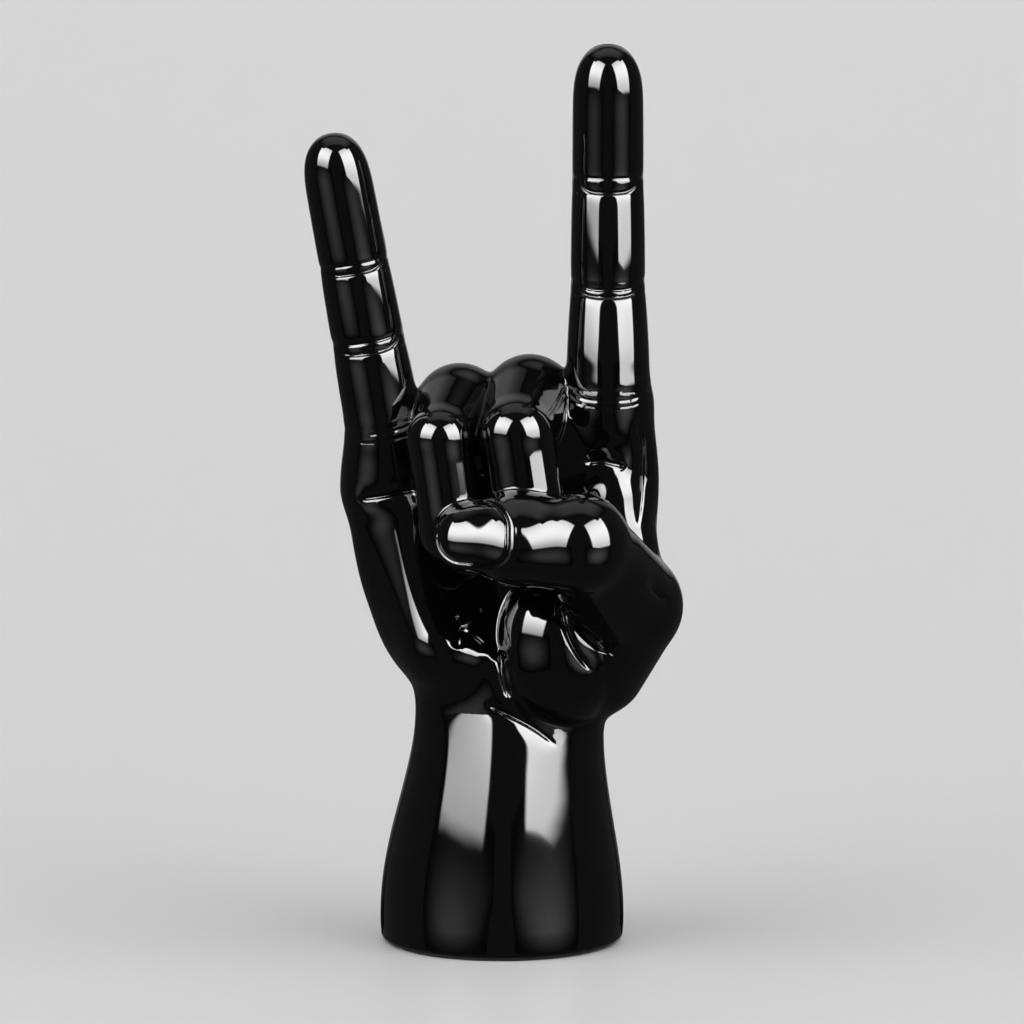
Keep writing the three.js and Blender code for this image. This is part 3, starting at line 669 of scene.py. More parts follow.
def relief(points):
    """What the lines, the nail and the mounds take from the skin."""
    cut = thumb_nail(points)
    for feature in (*PALM_LINES, *TENDONS, *KNUCKLES):
        cut += feature.cut(points)
    return cut


# The castings


class Piece:
    """One casting: its form, and the plane of its joint. A digit owns what lies past the plane."""

    def __init__(self, name, form, start=None, towards=None):
        self.name = name
        self.form = form
        if start is not None:
            self.along = (towards - start) / np.linalg.norm(towards - start)
            self.joint = start + self.along * JOINTS[name]

    def past_joint(self, points):
        return (points - self.joint) @ self.along > 0


def all_pieces():
    middle = curled_finger(MIDDLE_KNUCKLE, MIDDLE_BEND, MIDDLE_LOW_BEND, MIDDLE_END, MIDDLE_RADII)
    ring = curled_finger(RING_KNUCKLE, RING_BEND, RING_LOW_BEND, RING_END, RING_RADII)
    casting = Piece("palm_and_forearm", casting_form())
    digits = [
        Piece("thumb", thumb_form(), THUMB_BALL, THUMB_BEND),
        Piece("middle_finger", middle, MIDDLE_KNUCKLE, MIDDLE_BEND),
        Piece("ring_finger", ring, RING_KNUCKLE, RING_BEND),
        Piece("index_finger", index_finger.form(), INDEX_ROOT, INDEX_ROOT + index_finger.along),
        Piece("little_finger", little_finger.form(), LITTLE_ROOT, LITTLE_ROOT + LITTLE_ALONG),
    ]
    return casting, digits


def whole_form(casting, digits):
    """The skin of all the castings together, blended where they touch."""
    thumb, middle, ring, index, little = [piece.form for piece in digits]
    form = blend(casting.form, index, TIGHT_FILLET)
    form = blend(form, little, TIGHT_FILLET)
    form = blend(form, blend(middle, ring, CONTACT_FILLET), CONTACT_FILLET)
    form = blend(form, thumb, CONTACT_FILLET)
    carved = Form(lambda points: form.distance(points) + relief(points))
    return meet(carved, above(CASTING_BOTTOM), FOOT_FILLET)


# Meshing

LONGEST_STEP = 0.8
LEAST_STEEPNESS = 0.05
SLIDE = 0.7  # how far a vertex goes towards the middle of its neighbours


def evaluate(form, points, chunk=40000):
    parts = [points[i : i + chunk] for i in range(0, len(points), chunk)]
    with ThreadPoolExecutor(4) as pool:
        done = list(pool.map(form.distance, parts))
    return np.concatenate(done)


def slopes_of(form, points, step=0.05):
    slopes = np.empty_like(points)
    for axis in range(3):
        shift = np.zeros(3)
        shift[axis] = step
        slopes[:, axis] = evaluate(form, points + shift) - evaluate(form, points - shift)
    return slopes / (2 * step)


def normals_of(form, points):
    slopes = slopes_of(form, points)
    return slopes / np.maximum(np.linalg.norm(slopes, axis=1, keepdims=True), 1e-6)


def seat(vertices, form, rounds):
    """Moves vertices on to the surface of a form."""
    for _ in range(rounds):
        outside = evaluate(form, vertices)
        slopes = slopes_of(form, vertices)
        steepness = (slopes**2).sum(1, keepdims=True)
        step = -outside[:, None] * slopes / np.maximum(steepness, LEAST_STEEPNESS)
        length = np.linalg.norm(step, axis=1, keepdims=True)
        vertices = vertices + step * np.minimum(1, LONGEST_STEP / np.maximum(length, 1e-9))
    return vertices


CORNERS = [(0, 0, 0), (1, 0, 0), (0, 1, 0), (1, 1, 0), (0, 0, 1), (1, 0, 1), (0, 1, 1), (1, 1, 1)]
EDGES = [(a, a | bit) for bit in (1, 2, 4) for a in range(8) if not a & bit]
GRID_ENDS = {"x": (-78, 74), "y": (-78, 48)}
FOREARM_TOP = 75.0
AHEAD = 1000.0  # puts a digit that a point lies in before all digits that it lies outside of


def at_corners(values):
    """The values at each of the eight corners of all cells of a grid."""
    counts = np.array(values.shape) - 1
    return [values[tuple(slice(s, s + n) for s, n in zip(corner, counts))] for corner in CORNERS]


class Grid:
    """Values of a form on a grid, worked out only near its surface."""

    def __init__(self, form, places, block=4):
        self.places = [axis[: (len(axis) - 1) // block * block + 1] for axis in places]
        coarse = [axis[::block] for axis in self.places]
        points = np.stack(np.meshgrid(*coarse, indexing="ij"), axis=-1).reshape(-1, 3)
        rough = evaluate(form, points).reshape([len(axis) for axis in coarse])
        counts = [len(axis) for axis in self.places]
        nearest = [
            np.minimum((np.arange(n) + block // 2) // block, len(axis) - 1)
            for n, axis in zip(counts, coarse)
        ]
        self.values = rough[np.ix_(*nearest)].astype(np.float32)
        corners = at_corners(rough)
        closest = np.minimum.reduce([np.abs(corner) for corner in corners])
        size = max(np.diff(axis).max() for axis in coarse)
        near = (np.minimum.reduce(corners) <= 0) & (np.maximum.reduce(corners) >= 0) | (closest < size)
        wanted = np.zeros(counts, bool)
        for i, j, k in np.argwhere(near) * block:
            wanted[i : i + block + 1, j : j + block + 1, k : k + block + 1] = True
        at = np.nonzero(wanted)
        self.values[at] = evaluate(form, self.points(at))

    def points(self, at):
        return np.stack([axis[n] for axis, n in zip(self.places, at)], axis=1)

    def to_space(self, places):
        """Grid steps to millimetres."""
        steps = [np.arange(len(axis)) for axis in self.places]
        return np.stack([np.interp(places[:, i], steps[i], self.places[i]) for i in range(3)], axis=1)


def share_out(grid, casting, digits):
    """The owner of each grid point: 0 outside, 1 for the palm and forearm, then the digits."""
    owners = (grid.values < 0).astype(np.int8)
    at = np.nonzero(owners)
    points = grid.points(at)
    claims = np.full((len(digits), len(points)), np.inf)
    for claim, piece in zip(claims, digits):
        near = piece.form.near(points, FILLET)
        near[near] = piece.past_joint(points[near])
        distance = evaluate(piece.form, points[near])
        claim[near] = distance - np.where(distance < 0, AHEAD, 0)
    best = claims.min(0)
    wins = best < np.inf
    wins[wins] = best[wins] < evaluate(casting.form, points[wins])
    owners[at] = np.where(wins, claims.argmin(0) + 2, 1)
    return owners


class Skin:
    """One vertex in each cell that owners meet in, and a face round each edge that joins them."""

    def __init__(self, grid, owners):
        sides = at_corners(owners)
        active = np.logical_or.reduce([side != sides[0] for side in sides[1:]])
        cells = np.argwhere(active)
        number = np.full(active.shape, -1, np.int32)
        number[active] = np.arange(len(cells))
        owner = [side[active] for side in sides]
        value = [side[active].astype(float) for side in at_corners(grid.values)]
        outer, inner = np.zeros((2, len(cells), 3))
        outer_count, inner_count = np.zeros((2, len(cells)))
        for first, second in EDGES:
            start = np.array(CORNERS[first], float)
            step = np.array(CORNERS[second], float) - start
            leaves = (owner[first] == 0) != (owner[second] == 0)
            share = value[first] / np.where(leaves, value[first] - value[second], 1)
            outer += np.where(leaves[:, None], start + share[:, None] * step, 0)
            outer_count += leaves
            changes = owner[first] != owner[second]
            inner += np.where(changes[:, None], start + 0.5 * step, 0)
            inner_count += changes
        self.outside = outer_count > 0
        place = inner / inner_count[:, None]
        place[self.outside] = outer[self.outside] / outer_count[self.outside, None]
        self.vertices = grid.to_space(cells + place)
        sheets = [self.faces_across(owners, number, axis) for axis in range(3)]
        self.faces, self.owners = [np.concatenate(rows) for rows in zip(*sheets)]
        self.loops = []

    @staticmethod
    def faces_across(owners, number, axis):
        """Faces across one axis, each with its owner behind and its owner ahead."""
        here = [slice(None)] * 3
        ahead = [slice(None)] * 3
        here[axis] = slice(0, -1)
        ahead[axis] = slice(1, None)
        here, ahead = owners[tuple(here)], owners[tuple(ahead)]
        edges = np.argwhere(here != ahead)
        round_edge = []
        for b, c in ((-1, -1), (0, -1), (0, 0), (-1, 0)):
            cell = edges.copy()
            cell[:, (axis + 1) % 3] += b
            cell[:, (axis + 2) % 3] += c
            round_edge.append(number[tuple(cell.T)])
        at = tuple(edges.T)
        return np.stack(round_edge, axis=1), np.stack([here[at], ahead[at]], axis=1)

    def settle(self, form, rounds):
        """Evens the outer skin: vertices slide to the middle of their neighbours, along it."""
        faces = self.faces[(self.owners == 0).any(1)]
        n = len(self.vertices)
        first, second = faces.T.ravel(), np.roll(faces, -1, axis=1).T.ravel()
        count = np.bincount(first, minlength=n) + np.bincount(second, minlength=n)
        outside = self.outside
        for _ in range(rounds):
            middle = np.empty((outside.sum(), 3))
            for axis in range(3):
                near = np.bincount(first, self.vertices[second, axis], n)
                near += np.bincount(second, self.vertices[first, axis], n)
                middle[:, axis] = near[outside] / count[outside]
            vertices = self.vertices[outside]
            slide = middle - vertices
            normals = normals_of(form, vertices)
            slide -= (slide * normals).sum(1, keepdims=True) * normals
            self.vertices[outside] = seat(vertices + SLIDE * slide, form, 1)
        self.vertices[outside] = seat(self.vertices[outside], form, 1)

    def refine(self, form, most_turn):
        """Cuts faces of the outer skin in four where it turns by more than a share of a radian."""
        outer = (self.owners == 0).any(1)
        used = np.unique(self.faces[outer])
        normals = np.zeros((len(self.vertices), 3))
        normals[used] = normals_of(form, self.vertices[used])
        at = normals[self.faces]
        turn = np.linalg.norm(at[:, [0, 1, 2, 3, 0, 1]] - at[:, [1, 2, 3, 0, 2, 3]], axis=2).max(1)
        chosen = outer & (turn > most_turn)
        faces = self.faces[chosen]
        n = len(self.vertices)
        keys = self.edge_keys(faces, n)
        unique, number = np.unique(keys, return_inverse=True)
        number = n + number.reshape(faces.shape)
        middles = (self.vertices[unique // n] + self.vertices[unique % n]) / 2
        centres = self.vertices[faces].mean(1)
        centre = n + len(unique) + np.arange(len(faces))
        quarters = [
            np.stack([faces[:, i], number[:, i], centre, number[:, i - 1]], axis=1) for i in range(4)
        ]
        outside = self.outside[unique // n] & self.outside[unique % n]
        self.vertices = np.concatenate([self.vertices, middles, centres])
        self.outside = np.concatenate([self.outside, outside, np.ones(len(faces), bool)])

        kept, owners = self.faces[~chosen], self.owners[~chosen]
        touched = np.isin(self.edge_keys(kept, n), unique).any(1)
        loops = [(list(face), owner) for face, owner in zip(kept[touched], owners[touched])] + self.loops
        middle_of = dict(zip(unique.tolist(), range(n, n + len(unique))))
        self.loops = []
        for loop, owner in loops:
            longer = []
            for start, end in zip(loop, loop[1:] + loop[:1]):
                longer.append(start)
                middle = middle_of.get(int(min(start, end)) * n + int(max(start, end)))
                if middle is not None:
                    longer.append(middle)
            self.loops.append((longer, owner))
        self.faces = np.concatenate([kept[~touched], *quarters])
        self.owners = np.concatenate([owners[~touched], *[self.owners[chosen]] * 4])
        fresh = np.arange(len(self.vertices)) >= n
        fresh &= self.outside
        self.vertices[fresh] = seat(self.vertices[fresh], form, 2)

    @staticmethod
    def edge_keys(faces, n):
        ends = np.stack([faces, np.roll(faces, -1, axis=1)], axis=2)
        ends.sort(axis=2)
        return ends[..., 0].astype(np.int64) * n + ends[..., 1]

    def piece(self, owner):
        """One owner's closed mesh: vertices and faces."""
        behind = self.owners[:, 0] == owner
        ahead = self.owners[:, 1] == owner
        faces = np.concatenate([self.faces[behind], self.faces[ahead][:, ::-1]]).tolist()
        for loop, (first, second) in self.loops:
            if owner in (first, second):
                faces.append([int(n) for n in (loop if first == owner else loop[::-1])])
        used = np.unique(np.concatenate([np.array(face) for face in faces]))
        number = np.full(len(self.vertices), -1)
        number[used] = np.arange(len(used))
        return self.vertices[used], [number[face].tolist() for face in faces]


def grid_places(cell, forearm_cell):
    """The grid's planes: even across, and further apart up the plain forearm."""
    across, deep = [np.arange(low, high + 5 * cell, cell) for low, high in GRID_ENDS.values()]
    low = np.arange(CASTING_BOTTOM - 3 * forearm_cell, FOREARM_TOP, forearm_cell)
    high = np.arange(FOREARM_TOP, FULL_HEIGHT + 6 * cell, cell)
    return [across, deep, np.concatenate([low, high])]


def add_object(name, data):
    made = bpy.data.objects.new(name, data)
    bpy.context.scene.collection.objects.link(made)
    return made


def mesh_object(name, vertices, faces, material, normals=None, sharp_from=None):
    """An object of vertices in metres, smooth unless it turns sharper than an angle in degrees."""
    mesh = bpy.data.meshes.new(name)
    mesh.from_pydata(np.asarray(vertices).tolist(), [], faces)
    mesh.shade_smooth()
    if normals is not None:
        mesh.normals_split_custom_set_from_vertices(normals.tolist())
    if sharp_from:
        mesh.set_sharp_from_angle(angle=math.radians(sharp_from))
    mesh.materials.append(material)
    return add_object(name, mesh)


# Materials


def new_material(name):
    material = bpy.data.materials.new(name)
    material.use_nodes = True
    tree = material.node_tree
    return material, tree, tree.nodes["Principled BSDF"]


def feed(tree, node, inputs):
    """Sets inputs of a node, each to a plain value or to the output that feeds it."""
    for name, value in inputs.items():
        if isinstance(value, bpy.types.NodeSocket):
            tree.links.new(value, node.inputs[name])
        else:
            node.inputs[name].default_value = value


def add_node(tree, kind, inputs, **settings):
    """Adds a node and gives its outputs."""
    made = tree.nodes.new(kind)
    for name, value in settings.items():
        setattr(made, name, value)
    feed(tree, made, inputs)
    return made.outputs


SLOW_NOISE = {"Detail": 2.0, "Roughness": 0.4}
FINE_NOISE = {"Detail": 5.0, "Roughness": 0.6}
TONE_ENDS = (0.35, 0.65)  # where on the noise the dark and the light tone are full


def noise_and_bump(tree, place, scale, kind, height):
    """A noise, and the normal that it gives as a bump."""
    inputs = {"Vector": place, "Scale": scale, **kind}
    noise = add_node(tree, "ShaderNodeTexNoise", inputs)["Fac"]
    uneven = {"Strength": 1.0, "Distance": height, "Height": noise}
    return noise, add_node(tree, "ShaderNodeBump", uneven)["Normal"]


def lacquer(look):
    """Deep black lacquer with a slow waviness of its surface."""
    material, tree, shader = new_material("gloss black lacquer")
    place = add_node(tree, "ShaderNodeTexCoord", {})["Object"]
    _, normal = noise_and_bump(tree, place, 1 / look.wave_size, SLOW_NOISE, look.wave_height)
    finish = {"Roughness": look.roughness, "IOR": look.refraction, "Normal": normal}
    feed(tree, shader, {"Base Color": (*look.colour, 1), **finish})
    return material


def two_tone(name, stretch, scale, dark, light, height, finish):
    """A material of two tones and a bump, both from one noise on the object's own coordinates."""
    material, tree, shader = new_material(name)
    place = add_node(tree, "ShaderNodeTexCoord", {})["Object"]
    place = add_node(tree, "ShaderNodeMapping", {"Scale": stretch, "Vector": place})["Vector"]
    noise, normal = noise_and_bump(tree, place, scale, FINE_NOISE, height)
    tones = tree.nodes.new("ShaderNodeValToRGB")
    for element, position, colour in zip(tones.color_ramp.elements, TONE_ENDS, (dark, light)):
        element.position = position
        element.color = (*colour, 1)
    feed(tree, tones, {"Fac": noise})
    feed(tree, shader, {"Base Color": tones.outputs["Color"], "Normal": normal, **finish})
    return material


def board_fibre():
    """Raw fibreboard: flat brown with short pressed fibres."""
    tones = (0.12, 0.066, 0.03), (0.21, 0.122, 0.056)
    return two_tone("raw fibreboard", (1, 1, 4), 900, *tones, 0.00005, {"Roughness": 0.85})


def drawn_steel():
    """Bright drawn steel: fine lines along the pin."""
    tones = (0.5, 0.51, 0.52), (0.6, 0.61, 0.62)
    finish = {"Metallic": 1.0, "Roughness": 0.34}
    return two_tone("drawn steel", (1, 1, 0.06), 2600, *tones, 0.00001, finish)


def pressed_felt():
    """Black pressed felt: matt, with a soft sheen of loose fibres."""
    tones = (0.008, 0.008, 0.009), (0.018, 0.018, 0.02)
    sheen = {"Sheen Weight": 0.35, "Sheen Roughness": 0.5}
    finish = {"Roughness": 1.0, "Specular IOR Level": 0.1, **sheen}
    return two_tone("black pressed felt", (1, 1, 1), 1500, *tones, 0.0001, finish)


# The foot and the pins

RIM_STEPS = 5
CAP = 0.5  # share of the radius that the fan of a flat face fills
SHARP_FROM = 40


def turned_disc(radius, bottom, top, edge, sides, waviness=0.0):
    """A disc with rounded rims, its rings closed by a fan. Its rim wanders by the waviness."""
    quarter = np.linspace(0, math.pi / 2, RIM_STEPS)
    flat = radius - edge
    profile = [(CAP * radius, bottom)]
    profile += [(flat + edge * math.sin(t), bottom + edge - edge * math.cos(t)) for t in quarter]
    profile.append((radius, (bottom + top) / 2))
    profile += [(flat + edge * math.cos(t), top - edge + edge * math.sin(t)) for t in quarter]
    profile.append((CAP * radius, top))
    around = np.linspace(0, 2 * math.pi, sides, endpoint=False)
    wander = 1 - waviness * (1 + np.sin(7 * around + 1) * np.sin(11 * around)) / radius
    rings = [
        np.column_stack([r * wander * np.cos(around), r * wander * np.sin(around), np.full(sides, z)])
        for r, z in profile
    ]
    vertices = np.concatenate([*rings, [[0, 0, bottom], [0, 0, top]]])
    last = (len(rings) - 1) * sides
    middle = len(vertices) - 2
    edges = [(i, (i + 1) % sides) for i in range(sides)]
    faces = [[n + a, n + b, n + b + sides, n + a + sides] for n in range(0, last, sides) for a, b in edges]
    for a, b in edges:
        faces += [[middle, b, a], [middle + 1, last + a, last + b]]
    return vertices, faces


def flat_object(name, vertices, faces, material):
    return mesh_object(name, vertices * MM, faces, material, sharp_from=SHARP_FROM)


def pin_mesh(start, end, radius, edge, sides=24):
    """A round pin from one point to another, with rounded ends."""
    length = np.linalg.norm(end - start)
    along = (end - start) / length
    across = np.cross(along, vec(0, 1, 0) if abs(along[1]) < 0.9 else vec(1, 0, 0))
    across /= np.linalg.norm(across)
    vertices, faces = turned_disc(radius, 0, length, edge, sides)
    return start + vertices @ np.stack([across, np.cross(along, across), along]), faces


FIBRE_INPUTS = {
    "Geometry": "Geometry",
    "Fibres per square metre": "Float",
    "Fibre length": "Float",
    "Fibre radius": "Float",
    "Highest": "Float",
    "Lowest": "Float",
    "Seed": "Int",
}
FIBRE_TURN = (0.4, 0.4, 3.1)  # the most that a fibre turns about each axis


def fibre_tree(material):
    """Geometry Nodes: short fibres strewn over the rim of the felt."""
    tree = bpy.data.node_groups.new("felt fibres", "GeometryNodeTree")
    for name, kind in FIBRE_INPUTS.items():
        tree.interface.new_socket(name, in_out="INPUT", socket_type="NodeSocket" + kind)
    tree.interface.new_socket("Geometry", in_out="OUTPUT", socket_type="NodeSocketGeometry")
    given = tree.nodes.new("NodeGroupInput").outputs
    felt, seed = given["Geometry"], given["Seed"]

    def added(kind, inputs, **settings):
        return add_node(tree, kind, inputs, **settings)

    height = added("ShaderNodeSeparateXYZ", {"Vector": added("GeometryNodeInputPosition", {})["Position"]})
    limits = []
    for name, operation in (("Highest", "LESS_THAN"), ("Lowest", "GREATER_THAN")):
        ends = {"A": height["Z"], "B": given[name]}
        limits.append(added("FunctionNodeCompare", ends, operation=operation)["Result"])
    on_rim = added("FunctionNodeBooleanMath", dict(enumerate(limits)), operation="AND")["Boolean"]
    rim = {"Mesh": felt, "Selection": on_rim, "Density": given["Fibres per square metre"], "Seed": seed}
    strewn = added("GeometryNodeDistributePointsOnFaces", rim)
    sizes = {"Radius Bottom": given["Fibre radius"], "Depth": given["Fibre length"]}
    fibre = added("GeometryNodeMeshCone", {"Vertices": 3, "Radius Top": 0.0, **sizes})["Mesh"]
    turns = {0: [-most for most in FIBRE_TURN], 1: FIBRE_TURN, "Seed": seed}
    turn = added("FunctionNodeRandomValue", turns, data_type="FLOAT_VECTOR")[0]
    turns = {"Rotation": strewn["Rotation"], "Rotate By": turn}
    spin = added("FunctionNodeRotateRotation", turns, rotation_space="LOCAL")["Rotation"]
    copies = {"Points": strewn["Points"], "Instance": fibre, "Rotation": spin}
    fibres = added("GeometryNodeInstanceOnPoints", copies)["Instances"]
    joined = tree.nodes.new("GeometryNodeJoinGeometry")
    for part in (felt, fibres):
        feed(tree, joined, {"Geometry": part})
    real = added("GeometryNodeRealizeInstances", {"Geometry": joined.outputs["Geometry"]})["Geometry"]
    finish = added("GeometryNodeSetMaterial", {"Material": material, "Geometry": real})["Geometry"]
    added("NodeGroupOutput", {"Geometry": finish})
    return tree


def strew(piece, tree, values):
    """Runs a node tree on a piece and keeps the result as its plain mesh."""
    modifier = piece.modifiers.new("fibres", "NODES")
    modifier.node_group = tree
    for item in tree.interface.items_tree:
        if item.item_type == "SOCKET" and item.in_out == "INPUT" and item.name in values:
            modifier[item.identifier] = values[item.name]
    bpy.context.view_layer.update()
    shown = piece.evaluated_get(bpy.context.evaluated_depsgraph_get())
    mesh = bpy.data.meshes.new_from_object(shown)
    piece.modifiers.clear()
    piece.data = mesh


# Settings


class FootSizes(bpy.types.PropertyGroup):
    """The board and the felt under the forearm"""

    board_edge: FloatProperty(
        name="Board edge", description="Rounding of the board's rim", default=0.0004, unit="LENGTH",
    )
    felt_edge: FloatProperty(
        name="Felt edge", description="Rounding of the felt's rim", default=0.0004, unit="LENGTH",
    )
    felt_waviness: FloatProperty(
        name="Felt waviness", description="How far the cut rim of the felt wanders",
        default=0.0002, unit="LENGTH",
    )
    fibres: FloatProperty(
        name="Fibres", description="Loose fibres on each square metre of the felt's rim", default=5e6, min=0,
    )
    fibre_length: FloatProperty(
        name="Fibre length", description="Length of a loose fibre", default=0.0007, unit="LENGTH",
    )
    fibre_radius: FloatProperty(
        name="Fibre radius", description="Radius of a fibre at its root", default=0.00003, unit="LENGTH",
    )
    pin_edge: FloatProperty(
        name="Pin edge", description="Rounding of the ends of the pins", default=0.0006, unit="LENGTH",
    )


class LacquerLook(bpy.types.PropertyGroup):
    """Finish of the castings"""

    colour: FloatVectorProperty(
        name="Colour", description="Colour of the lacquer",
        subtype="COLOR", size=3, default=(0.0022, 0.0022, 0.0024), min=0, max=1,
    )
    roughness: FloatProperty(
        name="Roughness", description="Roughness of the gloss", default=0.045, min=0, max=1,
    )
    refraction: FloatProperty(
        name="IOR", description="Refraction of the lacquer", default=1.58, min=1, max=3,
    )
    wave_size: FloatProperty(
        name="Wave size", description="Size of the slow waves in the lacquer", default=0.022, unit="LENGTH",
    )
    wave_height: FloatProperty(
        name="Wave height", description="Height of the waves in the lacquer", default=0.00006, unit="LENGTH",
    )


class SkinSizes(bpy.types.PropertyGroup):
    """How finely the castings are drawn"""

    cell: FloatProperty(
        name="Cell", description="Size of the skin's faces on the hand", default=0.0011, unit="LENGTH",
    )
    forearm_cell: FloatProperty(
        name="Forearm cell", description="Height of the skin's faces on the plain forearm",
        default=0.002, unit="LENGTH",
    )
    quick_cell: FloatProperty(
        name="Quick cell", description="Size of the faces in a quick look", default=0.0016, unit="LENGTH",
    )


# Operators

# A skin is cut finer where it turns by more than each of these, in radians
FULL_TURNS = (0.2, 0.24)
BOARD_SIDES = 96
FELT_SIDES = 160
FIBRE_SEED = 4


class SCULPTURE_OT_castings(bpy.types.Operator):
    """Lay the lacquered skin over the castings"""

    bl_idname = "sculpture.castings"
    bl_label = "Castings"

    def execute(self, context):
        sizes = context.scene.sculpture_skin
        cell = sizes.cell / MM
        casting, digits = all_pieces()
        form = whole_form(casting, digits)
        grid = Grid(form, grid_places(cell, max(cell, sizes.forearm_cell / MM)))
        skin = Skin(grid, share_out(grid, casting, digits))
        skin.settle(form, 2)
        for most_turn in FULL_TURNS:
            skin.refine(form, most_turn)
        material = lacquer(context.scene.sculpture_lacquer)
        for owner, piece in enumerate([casting, *digits], 1):
            vertices, faces = skin.piece(owner)
            made = mesh_object(piece.name, vertices * MM, faces, material, normals_of(form, vertices))
            finish_piece(made, piece.name)
        return {"FINISHED"}


def box_mm(name):
    low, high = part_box(name)
    return np.array(low) / MM, np.array(high) / MM


def finish_piece(made, name):
    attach(made, "root")
    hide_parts(name)


class SCULPTURE_OT_board(bpy.types.Operator):
    """Make the board that closes the foot"""

    bl_idname = "sculpture.board"
    bl_label = "Board"

    def execute(self, context):
        sizes = context.scene.sculpture_foot
        low, high = box_mm("base_plate")
        mesh = turned_disc((high[0] - low[0]) / 2, low[2], high[2], sizes.board_edge / MM, BOARD_SIDES)
        finish_piece(flat_object("base_plate", *mesh, board_fibre()), "base_plate")
        return {"FINISHED"}


class SCULPTURE_OT_felt(bpy.types.Operator):
    """Make the felt disc with its fibrous rim"""

    bl_idname = "sculpture.felt"
    bl_label = "Felt"

    def execute(self, context):
        sizes = context.scene.sculpture_foot
        low, high = box_mm("felt_pad")
        material = pressed_felt()
        radius, edge = (high[0] - low[0]) / 2, sizes.felt_edge / MM
        mesh = turned_disc(radius, low[2], high[2], edge, FELT_SIDES, sizes.felt_waviness / MM)
        felt = flat_object("felt_pad", *mesh, material)
        values = {
            "Fibres per square metre": sizes.fibres,
            "Fibre length": sizes.fibre_length,
            "Fibre radius": sizes.fibre_radius,
            "Highest": (high[2] - edge) * MM,
            "Lowest": (low[2] + 1.1 * edge) * MM,
            "Seed": FIBRE_SEED,
        }
        strew(felt, fibre_tree(material), values)
        finish_piece(felt, "felt_pad")
        return {"FINISHED"}


class SCULPTURE_OT_dowels(bpy.types.Operator):
    """Make the steel pins in the joints"""

    bl_idname = "sculpture.dowels"
    bl_label = "Dowels"

    def execute(self, context):
        edge = context.scene.sculpture_foot.pin_edge / MM
        material = drawn_steel()
        _, digits = all_pieces()
        for digit in digits:
            name = digit.name + "_dowel"
            diameter, length = DOWELS[digit.name]
            half = digit.along * length / 2
            mesh = pin_mesh(digit.joint - half, digit.joint + half, diameter / 2, edge)
            finish_piece(flat_object(name, *mesh, material), name)
        return {"FINISHED"}


# The stage. Azimuth 0 is towards the camera, and positive to its right.
# Lamps that light it: azimuth, elevation, distance, width, height and radiance
LAMPS = {
    "left box": (-66, 48, 2.0, 1.8, 1.9, 1.9),
    "right box": (66, 48, 2.0, 1.8, 1.9, 1.9),
    "ceiling": (0, 85, 2.0, 2.6, 2.6, 0.6),
}
# Cards that only shiny things show: azimuth, elevation, distance, the tangents of half the angles
# that they span, radiance, the fading share of the edges, and the light left at the low and high ends
CARDS = {
    "left box seen": (-50, 35, 4.0, 0.42, 0.455, 17, 0.07, 0.35, 0.7),
    "right box seen": (53, 33, 4.0, 0.44, 0.5, 17, 0.07, 0.6, 0.65),
    "left glow seen": (-46, -6, 4.3, 0.6, 0.38, 0.55, 0.5, 1, 1),
    "right glow seen": (44, -6, 4.3, 0.6, 0.38, 0.85, 0.5, 1, 1),
    "ceiling seen": (180, 78, 2.4, 0.8, 0.5, 0.5, 0.3, 1, 1),
    "backdrop seen": (180, 20, 2.4, 0.7, 0.75, 0.4, 0.3, 1, 1),
}
WORLD = {"lighting": 0.2, "reflected": 0.05, "seen": 0.63}
COVE = {"front": -1.5, "bend_start": 0.1, "bend": 1.2, "top": 1.9, "half_width": 1.2, "steps": 24}
CAMERA = {"place": (0.00371, -1.8, 0.3728), "pitch": -6.77, "sensor": 36, "sensors_away": 4931 / 1024}


def aim(thing, azimuth, elevation, distance):
    """Places a lamp or a card round the middle of the sculpture, facing it."""
    azimuth, elevation = math.radians(azimuth), math.radians(elevation)
    level = math.cos(elevation)
    out = Vector((math.sin(azimuth) * level, -math.cos(azimuth) * level, math.sin(elevation)))
    thing.location = Vector((0, 0, FULL_HEIGHT / 2 * MM)) + out * distance
    thing.rotation_euler = out.to_track_quat("Z", "Y").to_euler()


def soft_box(name, azimuth, elevation, distance, width, height, radiance):
    """An area lamp that lights the scene. The lacquer shows the card in its place."""
    light = bpy.data.lights.new(name, "AREA")
    light.shape = "RECTANGLE"
    light.size = width
    light.size_y = height
    light.energy = radiance * width * height * math.pi
    lamp = add_object(name, light)
    aim(lamp, azimuth, elevation, distance)
    lamp.visible_glossy = False
    lamp.visible_camera = False


def glow(name, radiance, edge, low_end, high_end):
    """Light of a card: even in the middle, dimmer at its low and high ends, fading at its edges."""
    material, tree, _ = new_material(name)
    tree.nodes.clear()
    place = add_node(tree, "ShaderNodeTexCoord", {})["UV"]
    place = add_node(tree, "ShaderNodeSeparateXYZ", {"Vector": place})
    strength = radiance
    for axis, start, end, first in (
        ("X", 0, edge, 0),
        ("X", 1, 1 - edge, 0),
        ("Y", 0, edge, 0),
        ("Y", 1, 1 - edge, 0),
        ("Y", 0, 0.5, low_end),
        ("Y", 1, 0.6, high_end),
    ):
        rise = {"Value": place[axis], "From Min": start, "From Max": end, "To Min": first, "To Max": 1}
        fade = add_node(tree, "ShaderNodeMapRange", rise, interpolation_type="SMOOTHSTEP")["Result"]
        product = add_node(tree, "ShaderNodeMath", {0: strength, 1: fade}, operation="MULTIPLY")
        strength = product["Value"]
    light = add_node(tree, "ShaderNodeEmission", {"Strength": strength})["Emission"]
    add_node(tree, "ShaderNodeOutputMaterial", {"Surface": light})
    return material


